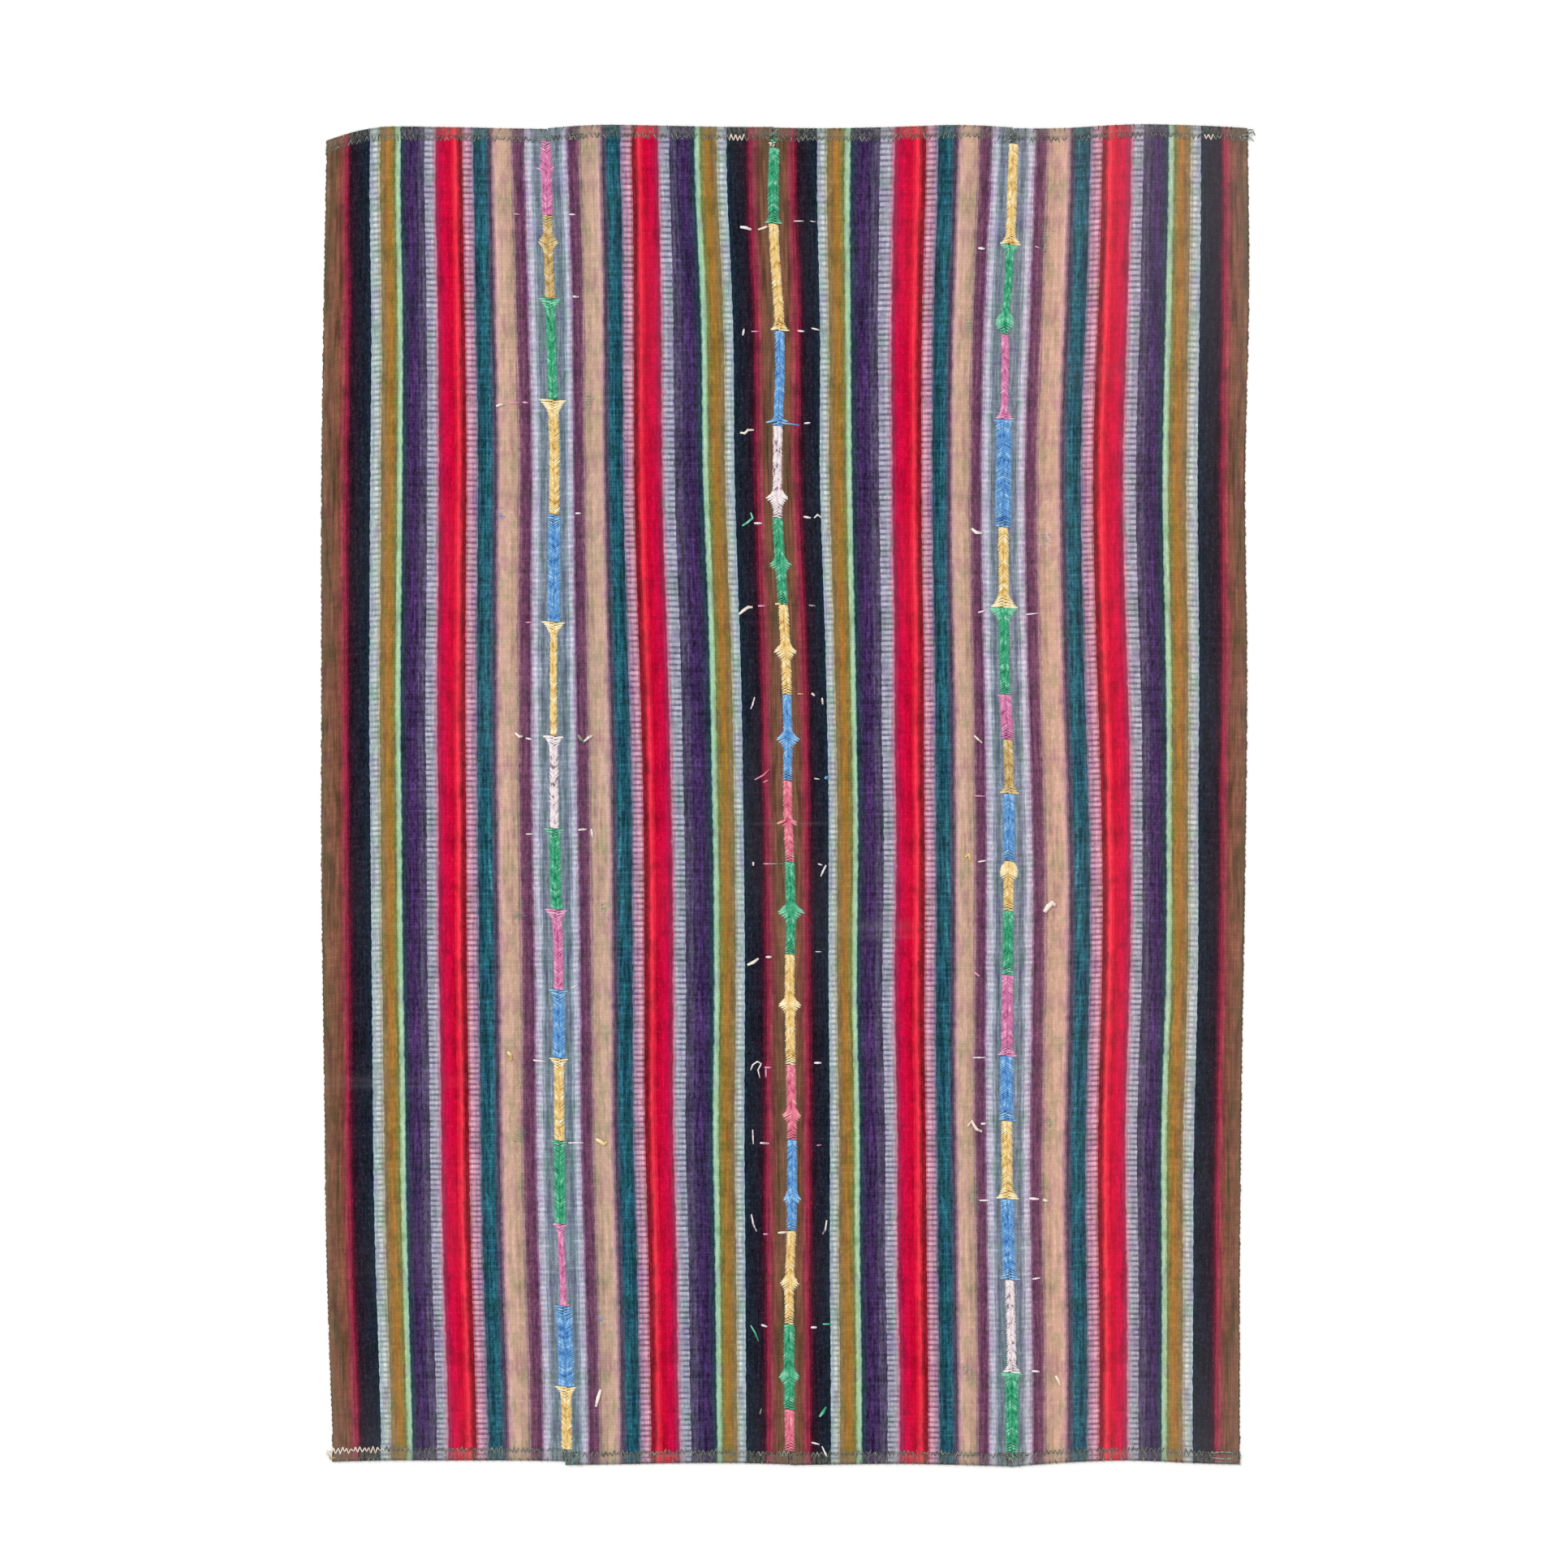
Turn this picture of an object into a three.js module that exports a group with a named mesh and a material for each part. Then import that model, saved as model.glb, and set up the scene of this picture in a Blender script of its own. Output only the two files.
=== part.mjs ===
// A striped flat-woven kilim of wool, lying flat. It was woven as one long narrow band, cut into
// four strips that lie edge to edge, every second one turned over. A column of thick fishbone
// embroidery covers each join, in bars that change colour and swell into caps, diamonds and
// crosses. Both ends of each strip are folded under and sewn down, which makes them thicker.
//
// Millimetres. X runs across the stripes, Y along them and Z up. The origin is on the floor,
// under the middle of the kilim.

import * as THREE from 'three';

// Cloth of the strips
const CLOTH_THICKNESS = 2.6;
const HEM_THICKNESS = 4.6;
const HEM_DEPTH = 12;
const HEM_SLOPE = 2.5;
const JOIN_GAP = 0.3;

// Lengthwise rows of a strip: the inner rows stay put, and the hem follows the strip's end
const NOMINAL_HALF_LENGTH = 1010;
const INNER_HALF_LENGTH = 960;
const INNER_ROWS = 16;
const STEPS_ACROSS = 8;
const FOLD_SEGMENTS = 2;

// Long edges and joins, from the bottom end up, as the cloth lies: the joins wander with the cloth
const LINE_STATIONS = [-1000, -706, -411, -117, 178, 473, 768, 990];
const LINES = {
  leftEdge: [-686, -696, -700, -704, -704, -704, -700, -696],
  leftJoin: [-333, -338, -344, -348, -350, -352, -354, -362],
  centreJoin: [7, 6, 6, 5, 0, -11, -15, -18],
  rightJoin: [338, 338, 337, 338, 333, 329, 335, 344],
  rightEdge: [688, 688, 691, 696, 699, 696, 702, 700],
};

// Ends of each strip, from its left edge to its right edge as a share of its width
const END_STATIONS = [0, 0.2, 0.5, 0.8, 1];
const STRIPS = [
  {
    name: 'strip_1',
    left: 'leftEdge',
    right: 'leftJoin',
    topEnd: [990, 1009, 1011, 1009, 1008],
    bottomEnd: [-1008, -1006, -1006, -1006, -1007],
  },
  {
    name: 'strip_2',
    left: 'leftJoin',
    right: 'centreJoin',
    topEnd: [1009, 1014, 1013, 1011, 1011],
    bottomEnd: [-1013, -1012, -1010, -1010, -1012],
  },
  {
    name: 'strip_3',
    left: 'centreJoin',
    right: 'rightJoin',
    topEnd: [1010, 1009, 1011, 1014, 1010],
    bottomEnd: [-1013, -1012, -1011, -1013, -1015],
  },
  {
    name: 'strip_4',
    left: 'rightJoin',
    right: 'rightEdge',
    topEnd: [1009, 1009, 1015, 1013, 1009],
    bottomEnd: [-1016, -1010, -1006, -1010, -1012],
  },
];

// Embroidery: thickness, its clearance over the cloth and between bars, and how fast a bar
// narrows from its head or foot to its stem
const YARN_LIFT = 0.3;
const BAR_GAP = 0.3;
const BAR_EDGE_HEIGHT = 0.8;
const BAR_SHOULDER_HEIGHT = 1.5;
const BAR_CROWN_HEIGHT = 1.8;
const BAR_SHOULDER_PLACE = 0.55;
const TAPER_PER_WIDTH = 0.8;

const YARN_COLOURS = {
  pink: '#d95a98',
  salmon: '#df5f78',
  gold: '#d8a548',
  green: '#2fae72',
  yellow: '#eec25c',
  blue: '#4a8cd8',
  white: '#f0dcd8',
};

// A knob is a swelling part-way along a bar: points are [place along its half-length, share of its width]
const KNOBS = {
  diamond: { length: 28, points: [[-1, 0], [0, 1], [1, 0]] },
  cross: { length: 9, points: [[-1, 0], [0, 1], [1, 0]] },
  ball: { length: 28, points: [[-1, 0], [-0.6, 0.8], [0, 1], [0.6, 0.8], [1, 0]] },
};

// Bars of each join, from the top down. stem, head, foot and knobWidth are widths; a bar with no
// head or foot is as wide as its stem there. knobAt is measured from the bar's top.
const JOINS = [
  {
    name: 'left_join',
    line: 'leftJoin',
    top: 990,
    bars: [
      { yarn: 'pink', length: 112, stem: 15, knob: 'cross', knobWidth: 29, knobAt: 41 },
      { yarn: 'gold', length: 126, stem: 15, knob: 'diamond', knobWidth: 32, knobAt: 41 },
      { yarn: 'green', length: 153, stem: 15, head: 36 },
      { yarn: 'yellow', length: 174, stem: 16, head: 43 },
      { yarn: 'blue', length: 162, stem: 18 },
      { yarn: 'yellow', length: 173, stem: 13, head: 39 },
      { yarn: 'white', length: 140, stem: 15, head: 34 },
      { yarn: 'green', length: 122, stem: 18, head: 31 },
      { yarn: 'pink', length: 122, stem: 16, head: 37 },
      { yarn: 'blue', length: 103, stem: 17, head: 29 },
      { yarn: 'yellow', length: 125, stem: 16, head: 31 },
      { yarn: 'green', length: 126, stem: 20, head: 27 },
      { yarn: 'pink', length: 124, stem: 10, head: 23, foot: 19 },
      { yarn: 'blue', length: 122, stem: 21, head: 27 },
      { yarn: 'yellow', length: 95, stem: 16, head: 34 },
    ],
  },
  {
    name: 'centre_join',
    line: 'centreJoin',
    top: 979,
    bars: [
      { yarn: 'green', length: 115, stem: 15, foot: 27 },
      { yarn: 'yellow', length: 162, stem: 15, foot: 31 },
      { yarn: 'blue', length: 144, stem: 15, knob: 'cross', knobWidth: 37, knobAt: 138 },
      { yarn: 'white', length: 139, stem: 14, knob: 'diamond', knobWidth: 34, knobAt: 109 },
      { yarn: 'green', length: 131, stem: 14, knob: 'diamond', knobWidth: 31, knobAt: 71 },
      { yarn: 'yellow', length: 136, stem: 15, knob: 'diamond', knobWidth: 35, knobAt: 71 },
      { yarn: 'blue', length: 130, stem: 14, knob: 'diamond', knobWidth: 36, knobAt: 68 },
      { yarn: 'salmon', length: 123, stem: 14, knob: 'cross', knobWidth: 34, knobAt: 65 },
      { yarn: 'green', length: 140, stem: 15, knob: 'diamond', knobWidth: 42, knobAt: 76 },
      { yarn: 'yellow', length: 167, stem: 15, knob: 'diamond', knobWidth: 36, knobAt: 77 },
      { yarn: 'salmon', length: 113, stem: 15, knob: 'diamond', knobWidth: 29, knobAt: 77 },
      { yarn: 'blue', length: 138, stem: 15, knob: 'diamond', knobWidth: 27, knobAt: 90 },
      { yarn: 'yellow', length: 141, stem: 14, knob: 'diamond', knobWidth: 29, knobAt: 80 },
      { yarn: 'green', length: 129, stem: 15, knob: 'diamond', knobWidth: 31, knobAt: 80 },
      { yarn: 'salmon', length: 63, stem: 15 },
    ],
  },
  {
    name: 'right_join',
    line: 'rightJoin',
    top: 985,
    bars: [
      { yarn: 'yellow', length: 153, stem: 15, foot: 34 },
      { yarn: 'green', length: 135, stem: 13, head: 29, knob: 'ball', knobWidth: 29, knobAt: 117 },
      { yarn: 'pink', length: 129, stem: 12, foot: 29 },
      { yarn: 'blue', length: 163, stem: 21, head: 29 },
      { yarn: 'yellow', length: 122, stem: 16, foot: 43 },
      { yarn: 'green', length: 131, stem: 16, head: 46 },
      { yarn: 'pink', length: 68, stem: 15, head: 21 },
      { yarn: 'gold', length: 82, stem: 15, foot: 31 },
      { yarn: 'blue', length: 102, stem: 17 },
      { yarn: 'yellow', length: 75, stem: 16, knob: 'ball', knobWidth: 28, knobAt: 16 },
      { yarn: 'green', length: 97, stem: 15, foot: 22 },
      { yarn: 'pink', length: 123, stem: 18, foot: 31 },
      { yarn: 'blue', length: 98, stem: 22, foot: 29 },
      { yarn: 'yellow', length: 118, stem: 17, foot: 37 },
      { yarn: 'blue', length: 122, stem: 17, foot: 29 },
      { yarn: 'white', length: 141, stem: 14, foot: 29 },
      { yarn: 'green', length: 120, stem: 17, head: 31 },
    ],
  },
];

const clothMaterial = new THREE.MeshStandardMaterial({ color: '#6d5560', roughness: 0.95, metalness: 0 });

// A smooth function through values at rising stations, level beyond the first and the last
function smoothLine(stations, values) {
  const interpolant = new THREE.CubicInterpolant(stations, values, 1, new Float64Array(1));
  return (station) => interpolant.evaluate(station)[0];
}

// The strip seen from its long side, x along it and y up: flat below, thicker at the folded ends
function lengthwiseSection() {
  const foldRadius = HEM_THICKNESS / 2;
  const hemStart = NOMINAL_HALF_LENGTH - HEM_DEPTH;
  const slopeStart = hemStart - HEM_SLOPE;
  const foldCentre = NOMINAL_HALF_LENGTH - foldRadius;
  const rows = [];
  for (let row = 0; row <= INNER_ROWS; row += 1) {
    rows.push(THREE.MathUtils.lerp(-INNER_HALF_LENGTH, INNER_HALF_LENGTH, row / INNER_ROWS));
  }
  const section = new THREE.Shape();
  section.moveTo(-foldCentre, 0);
  rows.forEach((along) => section.lineTo(along, 0));
  section.lineTo(foldCentre, 0);
  section.absarc(foldCentre, foldRadius, foldRadius, -Math.PI / 2, Math.PI / 2);
  section.lineTo(hemStart, HEM_THICKNESS);
  section.lineTo(slopeStart, CLOTH_THICKNESS);
  rows.reverse().forEach((along) => section.lineTo(along, CLOTH_THICKNESS));
  section.lineTo(-slopeStart, CLOTH_THICKNESS);
  section.lineTo(-hemStart, HEM_THICKNESS);
  section.lineTo(-foldCentre, HEM_THICKNESS);
  section.absarc(-foldCentre, foldRadius, foldRadius, Math.PI / 2, (Math.PI * 3) / 2);
  return section;
}

// One strip: the section runs across from the left edge to the right edge, then each point moves
// to the edges and ends of this strip as it lies
function makeStrip(strip) {
  const geometry = new THREE.ExtrudeGeometry(lengthwiseSection(), {
    depth: 1,
    steps: STEPS_ACROSS,
    curveSegments: FOLD_SEGMENTS,
    bevelEnabled: false,
  });
  const leftLine = smoothLine(LINE_STATIONS, LINES[strip.left]);
  const rightLine = smoothLine(LINE_STATIONS, LINES[strip.right]);
  const topEnd = smoothLine(END_STATIONS, strip.topEnd);
  const bottomEnd = smoothLine(END_STATIONS, strip.bottomEnd);
  const position = geometry.attributes.position;
  for (let index = 0; index < position.count; index += 1) {
    const along = position.getX(index);
    const height = position.getY(index);
    const share = position.getZ(index);
    let y = along;
    if (along > INNER_HALF_LENGTH) {
      y += topEnd(share) - NOMINAL_HALF_LENGTH;
    }
    if (along < -INNER_HALF_LENGTH) {
      y += bottomEnd(share) + NOMINAL_HALF_LENGTH;
    }
    const left = leftLine(y) + JOIN_GAP / 2;
    const right = rightLine(y) - JOIN_GAP / 2;
    position.setXYZ(index, THREE.MathUtils.lerp(left, right, share), y, height);
  }
  geometry.computeVertexNormals();
  const mesh = new THREE.Mesh(geometry, clothMaterial);
  mesh.name = strip.name;
  return mesh;
}

// The corners of a bar's outline, from its top down, as distance from the top and full width
function barOutline(bar) {
  const bottom = bar.length - BAR_GAP;
  const corners = [{ distance: 0, width: bar.head ?? bar.stem }];
  if (bar.head) {
    corners.push({ distance: (bar.head - bar.stem) * TAPER_PER_WIDTH, width: bar.stem });
  }
  if (bar.knob) {
    const knob = KNOBS[bar.knob];
    knob.points.forEach(([place, share]) => {
      const distance = bar.knobAt + (place * knob.length) / 2;
      corners.push({ distance, width: THREE.MathUtils.lerp(bar.stem, bar.knobWidth, share) });
    });
  }
  if (bar.foot) {
    corners.push({ distance: bottom - (bar.foot - bar.stem) * TAPER_PER_WIDTH, width: bar.stem });
  }
  corners.push({ distance: bottom, width: bar.foot ?? bar.stem });
  return corners;
}

// A bar seen from its end: flat below, with a low crown where the stitches cross in the middle
function crownedSection() {
  const section = new THREE.Shape();
  section.moveTo(-1, 0);
  section.lineTo(1, 0);
  section.lineTo(1, BAR_EDGE_HEIGHT);
  section.lineTo(BAR_SHOULDER_PLACE, BAR_SHOULDER_HEIGHT);
  section.lineTo(0, BAR_CROWN_HEIGHT);
  section.lineTo(-BAR_SHOULDER_PLACE, BAR_SHOULDER_HEIGHT);
  section.lineTo(-1, BAR_EDGE_HEIGHT);
  section.closePath();
  return section;
}

// One bar: a step of the extrusion for each corner of its outline, laid down along its join
function makeBar(bar, name, top, joinLine) {
  const corners = barOutline(bar);
  const steps = corners.length - 1;
  const geometry = new THREE.ExtrudeGeometry(crownedSection(), { depth: steps, steps, bevelEnabled: false });
  const position = geometry.attributes.position;
  for (let index = 0; index < position.count; index += 1) {
    const corner = corners[Math.round(position.getZ(index))];
    const y = top - corner.distance;
    const x = joinLine(y) + (position.getX(index) * corner.width) / 2;
    const z = CLOTH_THICKNESS + YARN_LIFT + position.getY(index);
    position.setXYZ(index, x, y, z);
  }
  geometry.computeVertexNormals();
  const material = new THREE.MeshStandardMaterial({
    color: YARN_COLOURS[bar.yarn],
    roughness: 0.9,
    metalness: 0,
  });
  const mesh = new THREE.Mesh(geometry, material);
  mesh.name = name;
  return mesh;
}

// All the bars of one join, each starting where the one above it ends
function makeJoin(join) {
  const group = new THREE.Group();
  const joinLine = smoothLine(LINE_STATIONS, LINES[join.line]);
  let top = join.top;
  join.bars.forEach((bar, index) => {
    const number = String(index + 1).padStart(2, '0');
    group.add(makeBar(bar, `${join.name}_${number}_${bar.yarn}`, top, joinLine));
    top -= bar.length;
  });
  return group;
}

const kilim = new THREE.Group();
STRIPS.forEach((strip) => kilim.add(makeStrip(strip)));
JOINS.forEach((join) => kilim.add(makeJoin(join)));

// The middle of the bounding box goes to the origin
const middle = new THREE.Box3().setFromObject(kilim).getCenter(new THREE.Vector3());
kilim.position.set(-middle.x, -middle.y, 0);

export default kilim;
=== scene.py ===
# Looks of a turkish kilim lying flat: four strips of warp-faced striped wool, laid edge to edge and
# joined under columns of coloured fishbone embroidery, with sewn hems and loose thread ends.
# Sizes are written in millimetres and turned to metres as each mesh is made.

import bisect
import math
import random

import bmesh
import bpy
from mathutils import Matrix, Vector, noise


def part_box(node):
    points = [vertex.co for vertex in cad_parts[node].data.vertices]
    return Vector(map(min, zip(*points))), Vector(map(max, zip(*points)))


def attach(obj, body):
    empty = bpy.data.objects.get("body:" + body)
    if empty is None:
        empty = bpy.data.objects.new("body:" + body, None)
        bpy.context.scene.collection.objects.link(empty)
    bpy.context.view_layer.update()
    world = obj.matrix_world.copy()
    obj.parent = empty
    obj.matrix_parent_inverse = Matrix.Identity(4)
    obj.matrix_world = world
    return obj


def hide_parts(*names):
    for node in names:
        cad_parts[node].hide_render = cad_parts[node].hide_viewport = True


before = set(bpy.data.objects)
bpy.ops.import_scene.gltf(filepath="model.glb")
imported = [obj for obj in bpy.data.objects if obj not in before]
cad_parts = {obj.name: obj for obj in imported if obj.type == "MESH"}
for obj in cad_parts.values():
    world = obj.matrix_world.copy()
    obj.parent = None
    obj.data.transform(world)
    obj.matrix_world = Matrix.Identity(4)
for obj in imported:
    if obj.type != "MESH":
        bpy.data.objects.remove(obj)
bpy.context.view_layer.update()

MM = 0.001
BODY = "root"

# Corners of a CAD node lie level when their heights differ less than this, in mm. A row of them
# crosses a strip when it spans this share of its width.
SAME_HEIGHT = 0.02
FULL_SPAN = 0.9

# Cloth: a thick weft lies under every rib, and the warp yarns cover it
CLOTH_THICKNESS = 2.6
HEM_DEPTH = 12.0
HEM_SLOPE = 2.5
PICK = 4.05
RIB_HEIGHT = 0.18
ROWS_PER_PICK = 3
STRIP_WIDTH = 350.0
EDGE_PLACES = (0.0, 0.25, 0.7, 1.4, 4.0)
END_PLACES = (0.0, 0.3, 0.9, 1.8)
WIDEST_COLUMN = 24.0
THINNEST = 0.3
LOOSER_AT_TOP = 0.14

# How the cloth lies: broad cockles, small puckers beside the joins, rows that bow, and stripes that
# wander. Spans are across and along the strip, in mm, and BOW_WAVES is how many bows fit each way.
# A pucker or a rubbed place no longer shows beyond this many times its reach.
OUT_OF_REACH = 3
COCKLE_HEIGHT = 0.9
COCKLE_SPANS = (170, 110)
PUCKER_HEIGHT = 0.45
PUCKER_SPANS = (60, 11)
PUCKER_REACH = 20.0
BOW_REACH = 1.6
BOW_WAVES = (1.7, 9)
WANDER_REACH = 3.2
WANDER_SPANS = (140, 300)

# Selvedges: the weft's turns draw them in. The outer two are also worn, in long and short dents.
SCALLOP_DEPTH = 0.5
OUTER_SCALLOP_DEPTH = 1.9
OUTER_TURN_SHARE = 0.45
OUTER_WEAR_SHARE = 0.75
WEAR_SPANS = (14, 4)

# Seeds that keep each kind of unevenness apart from the others
SEEDS = {
    "cockles": 3.1, "puckers": 20.0, "fading": 31.0, "wander": 40, "long wear": 60.0,
    "short wear": 70.0,
}

# Where the main stripes begin, in mm from the brown edge: crimson edge, navy, pale ladder, ochre,
# blue-black, grey ladder, crimson, pink ladder, teal, tan, plum, lavender ladder, slate
LANDMARKS = (29, 41, 73, 88, 120.5, 157, 175, 216, 234, 264, 297, 316, 327)

# Each strip: the side its brown edge lies on, its picks' spacing, its own places for the landmarks,
# how far the second yarns show, how warm its dyes have turned, how faded it is, and a seed for its
# unevenness. Its stripes also drift: the columns are y, then how far the stripes 35, 115, 210 and
# 320 mm from the brown edge lie beyond their even places, in mm.
DRIFT_PLACES = (35, 115, 210, 320)
STRIPS = {
    "strip_1": {
        "brown": "left", "pick": 4.10, "second": 0.42, "warmth": 0.15, "fade": 0.0, "seed": 1.7,
        "landmarks": (29, 41, 72, 88, 120.5, 157, 175, 216, 233.5, 264, 297, 316, 327),
        "drift": [
            (-860, 2, 2, 1, 2), (-560, 0, 0, -1, 0), (-280, 2, 2, 1, 2), (0, 2, 0, 0, 0),
            (300, 1, 2, 3, 1), (490, 1, 4, 5, 3), (690, 2, 2, 2, -1), (900, -2, -2, 0, -2),
        ],
    },
    "strip_2": {
        "brown": "right", "pick": 4.30, "second": 0.62, "warmth": 0.0, "fade": 0.0, "seed": 5.2,
        "landmarks": (24, 38, 67.5, 81.5, 115, 156.5, 176.5, 219, 237, 268, 300.5, 318, 327.5),
        "drift": [
            (-860, 1, -1, -2, -3), (-560, 2, 2, 0, 0), (-280, 0, 0, 0, -2), (0, 1, 0, -1, 0),
            (300, 1, 1, 3, 2), (490, 0, 3, 6, 1), (690, -2, 2, 5, 2), (900, 5, 8, 0, 3),
        ],
    },
    "strip_3": {
        "brown": "left", "pick": 4.15, "second": 0.6, "warmth": 0.2, "fade": 0.0, "seed": 8.9,
        "landmarks": (20.5, 35, 63.5, 77.5, 111.5, 152, 173, 218.5, 236.5, 267.5, 298.5, 315.5, 327.5),
        "drift": [
            (-860, 0, 3, 1, 3), (-560, 0, 0, -1, -1), (-280, -1, -4, -3, -2), (0, 0, -1, -1, 0),
            (300, 1, 2, 1, 1), (490, 0, 3, 2, 1), (690, 3, 3, 2, 2), (900, -2, 1, 3, 5),
        ],
    },
    "strip_4": {
        "brown": "right", "pick": 4.20, "second": 0.45, "warmth": 0.5, "fade": 0.02, "seed": 12.4,
        "landmarks": (28.5, 40, 70.6, 86, 119, 155, 174, 216, 234.5, 265.5, 300, 317, 327.5),
        "drift": [
            (-860, 1, 2, -1, -1), (-560, 0, 2, 0, 2), (-280, -2, -2, -5, -1), (0, 0, 0, -1, 0),
            (300, -3, 0, 3, 4), (490, -2, 1, 4, 3), (690, 1, 2, 3, 1), (900, 0, -1, 1, 0),
        ],
    },
}

# Stripes from the brown edge inwards. Columns: where the stripe starts in mm, its yarn, its second
# yarn, how far the second yarn shows as regular rungs (1) or as scattered flecks (0), and how
# uneven its dye looks, from 0 for quite even to 1 for very blotchy
STRIPES = [
    (0, "#83624f", "#5e553e", 0.0, 0.35),
    (8, "#865b48", "#594936", 0.0, 0.35),
    (18, "#8b5a46", "#573f2c", 0.0, 0.35),
    (25, "#8b4b41", "#683a30", 0.0, 0.4),
    (29, "#984250", "#7e3a42", 0.0, 0.4),
    (33, "#a02a46", "#80283a", 0.0, 0.4),
    (37.5, "#701a34", "#541628", 0.0, 0.5),
    (40.5, "#48142a", "#341222", 0.0, 0.6),
    (43.5, "#2e1626", "#241824", 0.0, 0.65),
    (48, "#241c2a", "#1c1e2a", 0.0, 0.7),
    (58, "#1c1f2c", "#18222e", 0.0, 0.7),
    (65, "#182433", "#1a2734", 0.0, 0.7),
    (73, "#aebfc6", "#879aa2", 0.7, 0.3),
    (78, "#c7d0cd", "#949e9e", 1.0, 0.25),
    (84, "#b6b6aa", "#8e8e80", 0.7, 0.3),
    (88, "#887852", "#846e40", 0.0, 0.35),
    (92, "#927248", "#886c40", 0.0, 0.35),
    (97, "#aa7638", "#96702a", 0.0, 0.3),
    (104, "#92783c", "#887840", 0.0, 0.35),
    (108.5, "#7e7a42", "#767c46", 0.0, 0.35),
    (111.5, "#a2ba90", "#96b086", 0.0, 0.3),
    (114, "#acd2ae", "#9cc6a6", 0.0, 0.25),
    (118.4, "#7c9e92", "#6c8e84", 0.0, 0.3),
    (120.3, "#2d404e", "#293c4c", 0.0, 0.6),
    (125.5, "#3a2d50", "#322f4c", 0.0, 0.8),
    (131, "#4c2f66", "#30254a", 0.2, 0.95),
    (139, "#4a3562", "#382e50", 0.2, 0.95),
    (146, "#5a506c", "#403a56", 0.35, 0.85),
    (157, "#b0b2c2", "#6e7084", 0.9, 0.3),
    (165.5, "#b8b6c2", "#807e92", 0.9, 0.3),
    (170, "#c69cae", "#a0627e", 0.6, 0.35),
    (173.5, "#b4607c", "#a45070", 0.2, 0.35),
    (175, "#a42e52", "#982648", 0.0, 0.3),
    (178.5, "#bc1444", "#b0103e", 0.0, 0.3),
    (182, "#cf0a42", "#c6083c", 0.0, 0.28),
    (190, "#cb0634", "#c20430", 0.0, 0.28),
    (198.6, "#de203e", "#d21a36", 0.0, 0.25),
    (202, "#ef384e", "#e42e44", 0.0, 0.22),
    (206.7, "#bc2638", "#a82030", 0.0, 0.3),
    (209.2, "#88121f", "#8a1c2e", 0.2, 0.4),
    (215.5, "#c0808e", "#8c4258", 0.7, 0.3),
    (218.5, "#d7a7b9", "#a36880", 1.0, 0.25),
    (224.5, "#ba96ae", "#865e7c", 1.0, 0.3),
    (230.5, "#88829a", "#62627a", 0.6, 0.5),
    (233.7, "#36586a", "#223e4c", 0.1, 0.9),
    (238, "#236071", "#143843", 0.2, 1.0),
    (245, "#306f7f", "#184656", 0.2, 1.0),
    (253, "#485a6e", "#3c465a", 0.1, 0.7),
    (257, "#50465a", "#484054", 0.0, 0.6),
    (260.5, "#866a76", "#7a6270", 0.0, 0.4),
    (263.8, "#bc9698", "#ac8a8e", 0.0, 0.25),
    (266, "#d2aca6", "#c8a298", 0.0, 0.22),
    (270.5, "#ccaa98", "#c2a288", 0.0, 0.22),
    (283, "#c0a08c", "#b69884", 0.0, 0.25),
    (292, "#a68488", "#98787c", 0.0, 0.4),
    (296.5, "#80586a", "#745060", 0.0, 0.55),
    (300, "#714660", "#673e58", 0.0, 0.6),
    (307, "#643c5a", "#623c5a", 0.0, 0.6),
    (312.5, "#8a6c88", "#7c5e7c", 0.3, 0.45),
    (315.5, "#bfb1c5", "#9886a0", 0.6, 0.3),
    (319, "#c6c6d7", "#a7a9bd", 0.7, 0.3),
    (325, "#9ea9b8", "#7c8a96", 0.4, 0.45),
    (329, "#828e9e", "#5c6a76", 0.2, 0.55),
    (337, "#8892a2", "#627880", 0.2, 0.55),
]

# Where the second half of the stripes begins, and how far a stripe's edge wavers, in mm
MIDDLE_STRIPE = 175.0
STRIPE_WAVER = 1.3

# Grains of the noise that makes the wool uneven. Columns: width and length in mm, detail, roughness
GRAINS = {
    "waver": (12, 12, 1.0, 0.5),
    "streaks": (3.6, 62, 3.0, 0.6),
    "hue streaks": (8.0, 120, 2.0, 0.7),
    "mottles": (4.2, 7.5, 2.0, 0.7),
    "picks": (90, 5.3, 0.0, 0.5),
    "rungs": (34, 6.1, 1.0, 0.5),
    "felted rungs": (15, 34, 2.0, 0.6),
    "violet dye": (17, 43, 2.0, 0.6),
    "green dye": (19, 37, 2.0, 0.6),
    "lint": (3.0, 4.5, 1.0, 0.5),
    "fibres": (0.9, 1.4, 2.0, 0.5),
    "rubbed stitches": (3.6, 10.0, 1.0, 0.5),
}

# Single floats of yarn: real ones are 1.2 mm wide, and these are drawn twice as wide so they show
FLOAT_WIDTH = 2.4

# Colours over the dyes: grey from fading, the hems' sewing thread, and lint
FADED_GREY = "#a8a2a6"
HEM_GREY = "#74776c"
LINT_GREY = "#8c8890"

# Wool colours of the embroidery: main, pale and dark shade. The dark one also paints the shade where
# stitches dive into the join
YARN_SHADES = {
    "pink": ("#da80ae", "#efb6d2", "#b4588c"),
    "salmon": ("#e67a92", "#f4b0b4", "#c4546e"),
    "gold": ("#d0b074", "#e8d8ac", "#a58040"),
    "green": ("#42aa7e", "#92d6b6", "#207c5a"),
    "yellow": ("#efce86", "#fbf2d0", "#cca058"),
    "blue": ("#68a2da", "#a6d0ee", "#4476b6"),
    "white": ("#eedfe2", "#fcf5f4", "#907b84"),
    "sewing": ("#7a8076", "#a6aca0", "#484c44"),
    "cream": ("#f1e0d2", "#fdf6ec", "#c0a694"),
}

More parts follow.
